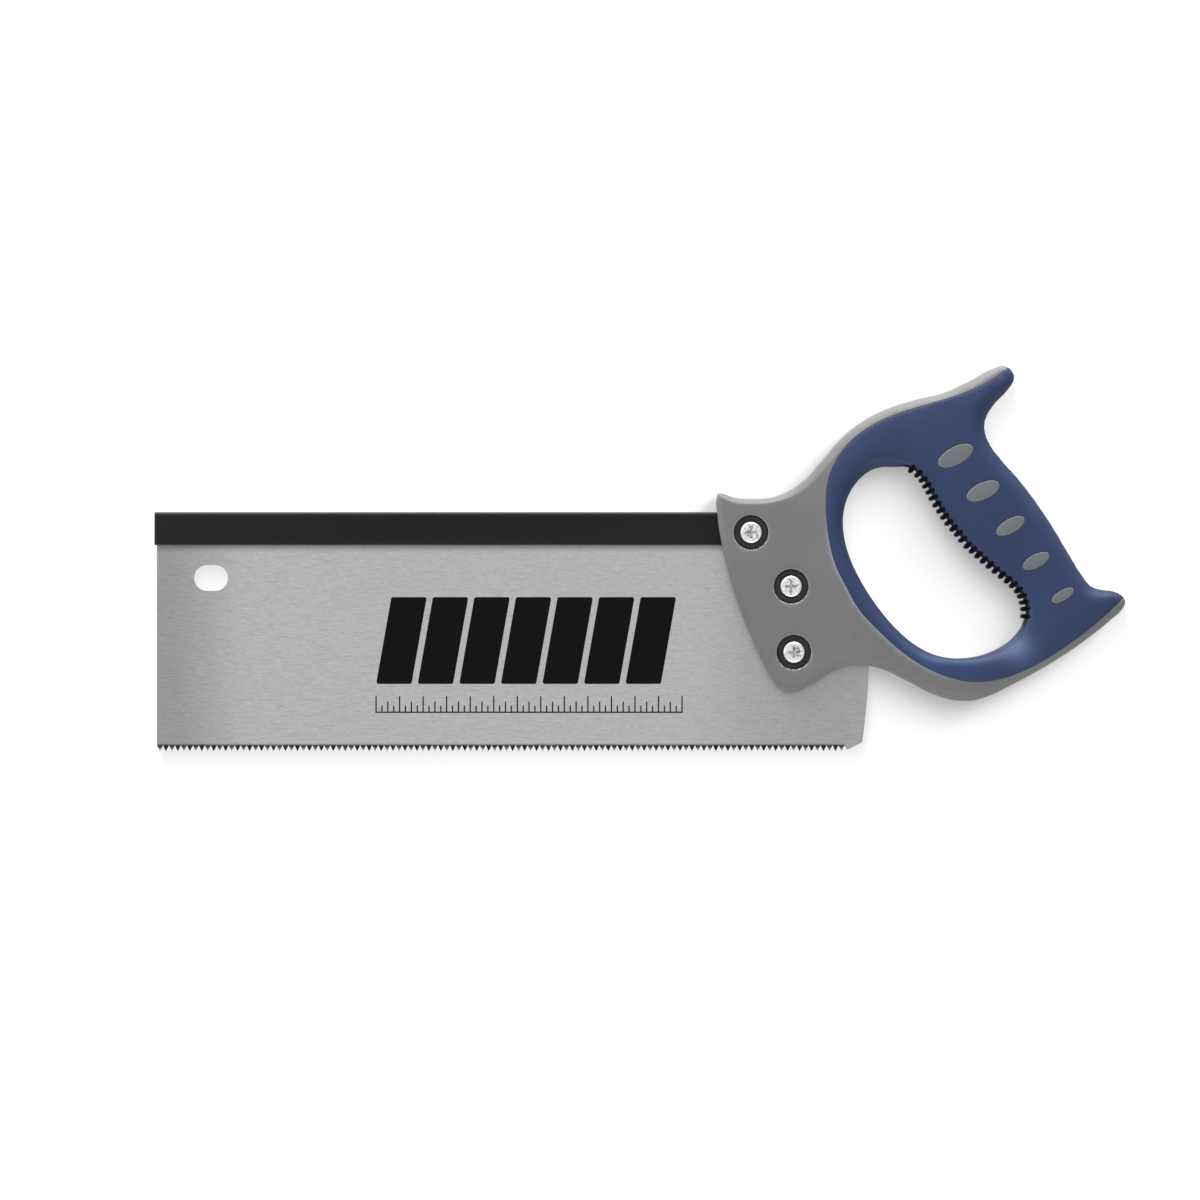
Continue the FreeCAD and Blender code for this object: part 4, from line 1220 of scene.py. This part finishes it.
def grey_shell():
    mat = Surface("moulded_grey_plastic")
    pores = mat.cells(scale=1500.0)
    grain = mat.noise(scale=1700.0, rough=0.6)
    cloud = mat.noise(scale=22.0, detail=4.0, rough=0.5)
    flow = mat.noise(rough=0.6, stretch=(60, 60, 14), distortion=1.5)
    tone = mat.mix(mat.span(cloud, over=(0.3, 0.7)), srgb(101, 101, 102), srgb(107, 107, 108))
    tone = mat.tint(tone, mat.span(flow, over=(0.45, 0.7)), weight=0.12,
                    colour=srgb(116, 116, 117))
    tone = mat.tint(tone, mat.span(grain, over=(0.5, 0.75)), weight=0.20,
                    colour=srgb(118, 118, 119))
    # painted highlight: the outer edge painted a lighter, warm grey
    rim = mat.field("rim")
    rim_highlight = mat.noise(scale=300.0, detail=4.0, rough=0.7)
    rim_highlight = mat.span(rim_highlight, over=(0.4, 0.7), to=(0.14, 0.22))
    tone = mat.tint(tone, rim, weight=rim_highlight, colour=srgb(158, 157, 153))
    # painted highlight: a light ring on the counterbore's lip
    tone = mat.tint(tone, mat.field("lip"), weight=0.62, colour=srgb(188, 188, 189))
    boss = mat.field("boss")
    boss_tone = mat.mix(mat.span(cloud, over=(0.3, 0.7)), srgb(94, 98, 102), srgb(98, 102, 106))
    tone = mat.mix(boss, tone, boss_tone)
    # painted highlight: a light line round each boss
    tone = mat.tint(tone, mat.field("boss_edge"), weight=0.40, colour=srgb(132, 140, 148))
    # painted highlight: a light line along the seat next to the skin
    tone = mat.tint(tone, mat.field("seat"), weight=0.60, colour=srgb(160, 170, 184))
    mat.set(Base_Color=tone, Specular_IOR_Level=0.42,
            Roughness=mat.span(grain, over=(0.3, 0.7), to=(0.46, 0.60)))
    mat.bump(pores, strength=0.10, distance=0.00006)
    mat.bump(grain, strength=0.14, distance=0.00005)
    # the two mould halves leave a faint line at the mid-plane
    off_plane = mat.math("ABSOLUTE", mat.axis("Y"))
    parting = mat.span(off_plane, over=(0.00008, 0.00028), to=(1.0, 0.0))
    mat.bump(parting, strength=0.5, distance=0.00012)
    return mat.material


def blue_skin():
    mat = Surface("soft_blue_rubber")
    grain = mat.noise(scale=2100.0, rough=0.65)
    pebble = mat.cells(scale=1150.0, feature="SMOOTH_F1")
    cloud = mat.noise(scale=26.0, detail=4.0)
    dust = mat.noise(scale=240.0, detail=5.0, rough=0.7)
    tone = mat.mix(mat.span(cloud, over=(0.3, 0.7)), srgb(27, 44, 79), srgb(32, 49, 85))
    tone = mat.tint(tone, mat.span(dust, over=(0.52, 0.75)), weight=0.12,
                    colour=srgb(56, 75, 112))
    tone = mat.tint(tone, mat.span(grain, over=(0.5, 0.8)), weight=0.10,
                    colour=srgb(50, 69, 108))
    # painted sheen: the lower loop painted a brighter, deeper blue
    tone = mat.mix(mat.field("worn"), tone, srgb(35, 65, 106))
    # painted highlight: a pale patch on the lower loop
    tone = mat.tint(tone, mat.field("glow"), weight=0.55, colour=srgb(86, 108, 144))
    # painted shade: the outer edge painted darker
    tone = mat.tint(tone, mat.field("rim"), weight=0.45, colour=srgb(18, 24, 46))
    tone = mat.tint(tone, mat.field("boss_edge"), weight=0.35, colour=srgb(34, 44, 74))
    # painted shade where the face turns into the hand opening
    out_share = mat.math("DIVIDE", mat.math("ABSOLUTE", mat.axis("Y")),
                         mat.math("MAXIMUM", mat.field("half"), 0.001))
    edge_shade = mat.math("MULTIPLY", mat.field("wall"),
                     mat.span(out_share, over=(0.88, 0.98), to=(0.0, 0.80)))
    # painted shade: the ribs, the band along their foot and the opening's edge painted near black
    ink = mat.math("MAXIMUM", mat.field("ink"), edge_shade)
    tone = mat.mix(mat.scaled(ink, factor=0.95, clamp=True), tone, srgb(7, 9, 20))
    quiet = mat.math("MAXIMUM", ink, mat.field("rim"))
    mat.set(Base_Color=tone, Roughness=mat.span(grain, over=(0.3, 0.7), to=(0.50, 0.68)),
            Specular_IOR_Level=mat.span(quiet, over=(0.0, 1.0), to=(0.38, 0.05), kind="LINEAR"),
            Sheen_Weight=mat.span(quiet, over=(0.0, 1.0), to=(0.05, 0.0), kind="LINEAR"),
            Sheen_Roughness=0.5)
    mat.bump(pebble, strength=0.14, distance=0.00007)
    mat.bump(grain, strength=0.16, distance=0.00005)
    return mat.material


def zinc():
    mat = Surface("bright_zinc")
    mottled = mat.noise(scale=900.0, detail=4.0, rough=0.7)
    flake = mat.cells(scale=700.0)
    cloud = mat.noise(scale=820.0, detail=2.0, rough=0.6)
    tone = mat.mix(mat.span(mottled, over=(0.35, 0.68)), srgb(226, 226, 226), srgb(252, 252, 251))
    tone = mat.tint(tone, mat.span(flake, over=(0.1, 0.6)), weight=0.15,
                    colour=srgb(228, 227, 224))
    middle = mat.span(mat.from_screw_axes(), over=(0.0026, 0.0040), to=(1.0, 0.12))
    fleck = mat.math("MULTIPLY", mat.span(cloud, over=(0.52, 0.62)), middle)
    tone = mat.tint(tone, fleck, weight=0.72, colour=srgb(70, 70, 71))
    # painted shade in the bottom of the recess: the head darker towards the counterbore floor
    recess_shade = mat.span(mat.math("ABSOLUTE", mat.axis("Y")), over=(0.0092, 0.0100), to=(0.25, 0.0))
    tone = mat.mix(recess_shade, tone, srgb(110, 109, 108))
    mat.set(Base_Color=tone, Metallic=0.80,
            Roughness=mat.span(mottled, over=(0.3, 0.7), to=(0.34, 0.54)))
    mat.bump(mottled, strength=0.45, distance=0.00012)
    mat.bump(flake, strength=0.15, distance=0.00008)
    return mat.material


def washer_black():
    mat = Surface("black_oxide_washer")
    grain = mat.noise(scale=1300.0, detail=4.0, rough=0.6)
    tone = mat.mix(mat.span(grain, over=(0.35, 0.7)), srgb(24, 24, 25), srgb(36, 36, 37))
    # fine turning marks round each screw axis
    away = mat.from_screw_axes()
    wave = mat.math("SINE", mat.scaled(away, factor=9000.0))
    # painted light and shade: a lighter band round the middle of each washer, darker next to the head where its shadow
    # falls
    ring = mat.math("MULTIPLY", mat.span(away, over=(0.00520, 0.00575)),
                    mat.span(away, over=(0.00600, 0.00650), to=(1.0, 0.0)))
    tone = mat.tint(tone, ring, weight=mat.span(grain, over=(0.35, 0.65), to=(0.3, 0.9)),
                    colour=srgb(70, 70, 71))
    mat.set(Base_Color=tone, Metallic=0.15,
            Roughness=mat.span(grain, over=(0.3, 0.7), to=(0.42, 0.58)))
    mat.bump(wave, strength=0.10, distance=0.00004)
    mat.bump(grain, strength=0.20, distance=0.00006)
    return mat.material


def print_ink():
    mat = Surface("screen_print_ink")
    grain = mat.noise(detail=4.0, rough=0.65, stretch=(60, 300, 1900))
    speck = mat.noise(scale=700.0, rough=0.6)
    tone = mat.mix(mat.span(grain, over=(0.35, 0.7)), srgb(5, 5, 6), srgb(12, 12, 13))
    tone = mat.tint(tone, mat.span(speck, over=(0.68, 0.8)), weight=0.3, colour=srgb(52, 52, 54))
    mat.set(Base_Color=tone, Specular_IOR_Level=0.12,
            Roughness=mat.span(grain, over=(0.3, 0.7), to=(0.48, 0.64)))
    mat.bump(grain, strength=0.12, distance=0.00004)
    return mat.material


def dress(piece, material):
    """Show the material in every slot of the piece; its mesh stays."""
    if not piece.material_slots:
        piece.data.materials.append(material)
    for slot in piece.material_slots:
        slot.material = material


STEEL, BACK, GREY, BLUE = steel_plate(), black_back(), grey_shell(), blue_skin()
ZINC, WASHER, INK = zinc(), washer_black(), print_ink()

dress(NODES["blade"], STEEL)
dress(NODES["spine"], BACK)
for name, node in NODES.items():
    if name.startswith(("screw_", "nut_")):
        dress(node, ZINC)
    elif name.startswith("washer_"):
        dress(node, WASHER)
for piece, material in ((NODES["handle_core"], GREY), (NODES["grip_overmould"], BLUE),
                        (handle_shell, GREY), (grip_skin, BLUE),
                        (print_band, INK), (print_rule, INK)):
    dress(piece, material)

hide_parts("handle_core")
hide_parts("grip_overmould")
for piece, slot in ((handle_shell, "grey_plastic"), (grip_skin, "blue_tpe"),
                    (print_band, "spine_black"), (print_rule, "spine_black")):
    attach(piece, "root")

# --------------------------------------------------------------------------- floor
REST = grip_hi[1] + 0.5                     # floor behind the saw's back face, mm
FLOOR_HALF = 0.9
FLOOR_GREY, FLOOR_GLOW = 0.25, 0.36
ROOM_LIGHT = 0.62
mid = (CAD_BOX[0] + CAD_BOX[1]) / 2


def floor_material():
    """Pale and softly lit for the camera from the front, clear to everything else."""
    material = bpy.data.materials.new("pale_floor")
    material.use_nodes = True
    tree = material.node_tree
    tree.nodes.clear()
    link = tree.links.new
    output, mixer, clear, pale, matte, glow, geometry, path, front_only, seen = [
        tree.nodes.new("ShaderNode" + kind) for kind in (
            "OutputMaterial", "MixShader", "BsdfTransparent", "AddShader", "BsdfDiffuse",
            "Emission", "NewGeometry", "LightPath", "Math", "Math")]
    matte.inputs["Color"].default_value = (FLOOR_GREY, FLOOR_GREY, FLOOR_GREY, 1)
    glow.inputs["Strength"].default_value = FLOOR_GLOW
    link(matte.outputs[0], pale.inputs[0])
    link(glow.outputs[0], pale.inputs[1])
    front_only.operation = "SUBTRACT"
    front_only.inputs[0].default_value = 1.0
    link(geometry.outputs["Backfacing"], front_only.inputs[1])
    seen.operation = "MULTIPLY"
    link(front_only.outputs[0], seen.inputs[0])
    link(path.outputs["Is Camera Ray"], seen.inputs[1])
    link(seen.outputs[0], mixer.inputs[0])
    link(clear.outputs[0], mixer.inputs[1])
    link(pale.outputs[0], mixer.inputs[2])
    link(mixer.outputs[0], output.inputs[0])
    return material


floor_mesh = bpy.data.meshes.new("backdrop")
floor_mesh.from_pydata([(mid[0] + side * FLOOR_HALF, REST * MM, mid[2] + up * FLOOR_HALF)
                        for side, up in ((-1, -1), (1, -1), (1, 1), (-1, 1))],
                       [], [(0, 1, 2, 3)])
floor = add_object("backdrop", floor_mesh)
floor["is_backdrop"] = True
floor_mesh.materials.append(floor_material())

# --------------------------------------------------------------------------- world
world = bpy.data.worlds.new("studio")
bpy.context.scene.world = world
world.use_nodes = True
world_tree = world.node_tree
background = world_tree.nodes["Background"]
background.inputs[0].default_value = (1.0, 1.0, 1.0, 1)
background.inputs[1].default_value = ROOM_LIGHT
# what the camera sees past the floor is as pale as the floor
world_path = world_tree.nodes.new("ShaderNodeLightPath")
brightness = world_tree.nodes.new("ShaderNodeMapRange")
brightness.inputs["To Min"].default_value = ROOM_LIGHT
brightness.inputs["To Max"].default_value = 1.0
world_tree.links.new(world_path.outputs["Is Camera Ray"], brightness.inputs["Value"])
world_tree.links.new(brightness.outputs[0], background.inputs[1])


# -------------------------------------------------------------------------- lights
def from_mid(place):
    """x and z from the middle of the saw, y from the mid-plane, in metres."""
    return Vector((mid[0] + place[0], place[1], mid[2] + place[2]))


def lamp(name, spot, aim, size, power, only, size_y=None, shadows=None, roll=0.0):
    """Area light on the pieces in only; shadows, if given, limits what blocks it."""
    data = bpy.data.lights.new(name, "AREA")
    data.shape = "RECTANGLE" if size_y else "SQUARE"
    data.size = size
    if size_y:
        data.size_y = size_y
    data.energy = power
    made = add_object(name, data)
    made.location = from_mid(spot)
    made.rotation_mode = "QUATERNION"
    turn = Quaternion((0, 0, 1), math.radians(roll))
    way = from_mid(aim) - from_mid(spot)
    made.rotation_quaternion = way.to_track_quat("-Z", "Y") @ turn
    made.visible_camera = False
    made.light_linking.receiver_collection = only
    if shadows:
        made.light_linking.blocker_collection = shadows


def group(name, things):
    made = bpy.data.collections.new(name)
    for thing in things:
        made.objects.link(thing)
    return made


blade_things = [NODES["blade"], print_band, print_rule]
saw = group("saw_pieces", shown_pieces())
floor_only = group("floor_only", [floor])
handle = group("handle_pieces", [handle_shell, grip_skin])
blade = group("blade_pieces", blade_things)
others = group("all_but_blade", [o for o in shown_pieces() if o not in blade_things])

AIM = (0.05, 0.0, 0.0)
HAND_X = 0.10
lamp("key_upper_left", spot=(-0.75, -1.15, 1.15), aim=AIM, size=0.9, power=8.0, only=saw)
lamp("rim_top", spot=(0.05, -0.16, 1.00), aim=AIM, size=1.3, size_y=0.30, power=22.0, only=others)
lamp("rim_left", spot=(-1.15, -0.22, 0.25), aim=AIM, size=0.9, size_y=0.35, power=5.0,
     only=others)
lamp("fill_below", spot=(0.10, -0.55, -1.00), aim=AIM, size=1.3, size_y=0.6, power=7.0,
     only=others)
lamp("blade_front", spot=(-0.10, -1.90, 0.35), aim=(-0.05, 0.0, 0.0), size=2.0, power=2.15,
     only=blade)
lamp("floor_plate", spot=(-0.30, -3.0, 1.35), aim=(0.0, 0.0, 0.0), size=2.7, size_y=0.7,
     power=118.0, only=floor_only, roll=100.0)
lamp("floor_hand", spot=(HAND_X + 1.50, -3.0, 1.24), aim=(HAND_X, 0.0, 0.0), size=3.6,
     size_y=1.0, power=272.0, only=floor_only, shadows=handle, roll=39.6)
lamp("rear_fill", spot=(-0.2, 1.6, 0.9), aim=AIM, size=1.2, power=10.0, only=saw)

# -------------------------------------------------------------------------- camera
FIELD = 0.5099                              # metres across the view
DISTANCE = 4.0
SENSOR = 36.0
VIEW_X, VIEW_Z = 0.03824, 0.06416           # centre of the view
cam_data = bpy.data.cameras.new("camera")
cam = add_object("camera", cam_data)
cam_data.sensor_width = SENSOR
cam_data.lens = SENSOR * DISTANCE / FIELD
cam_data.clip_start, cam_data.clip_end = 0.05, 50.0
cam.location = (VIEW_X, -DISTANCE, VIEW_Z)
cam.rotation_mode = "QUATERNION"
cam.rotation_quaternion = Vector((0, 1, 0)).to_track_quat("-Z", "Y")
scene = bpy.context.scene
scene.camera = cam
scene.view_settings.view_transform = "Standard"
scene.view_settings.look = "None"
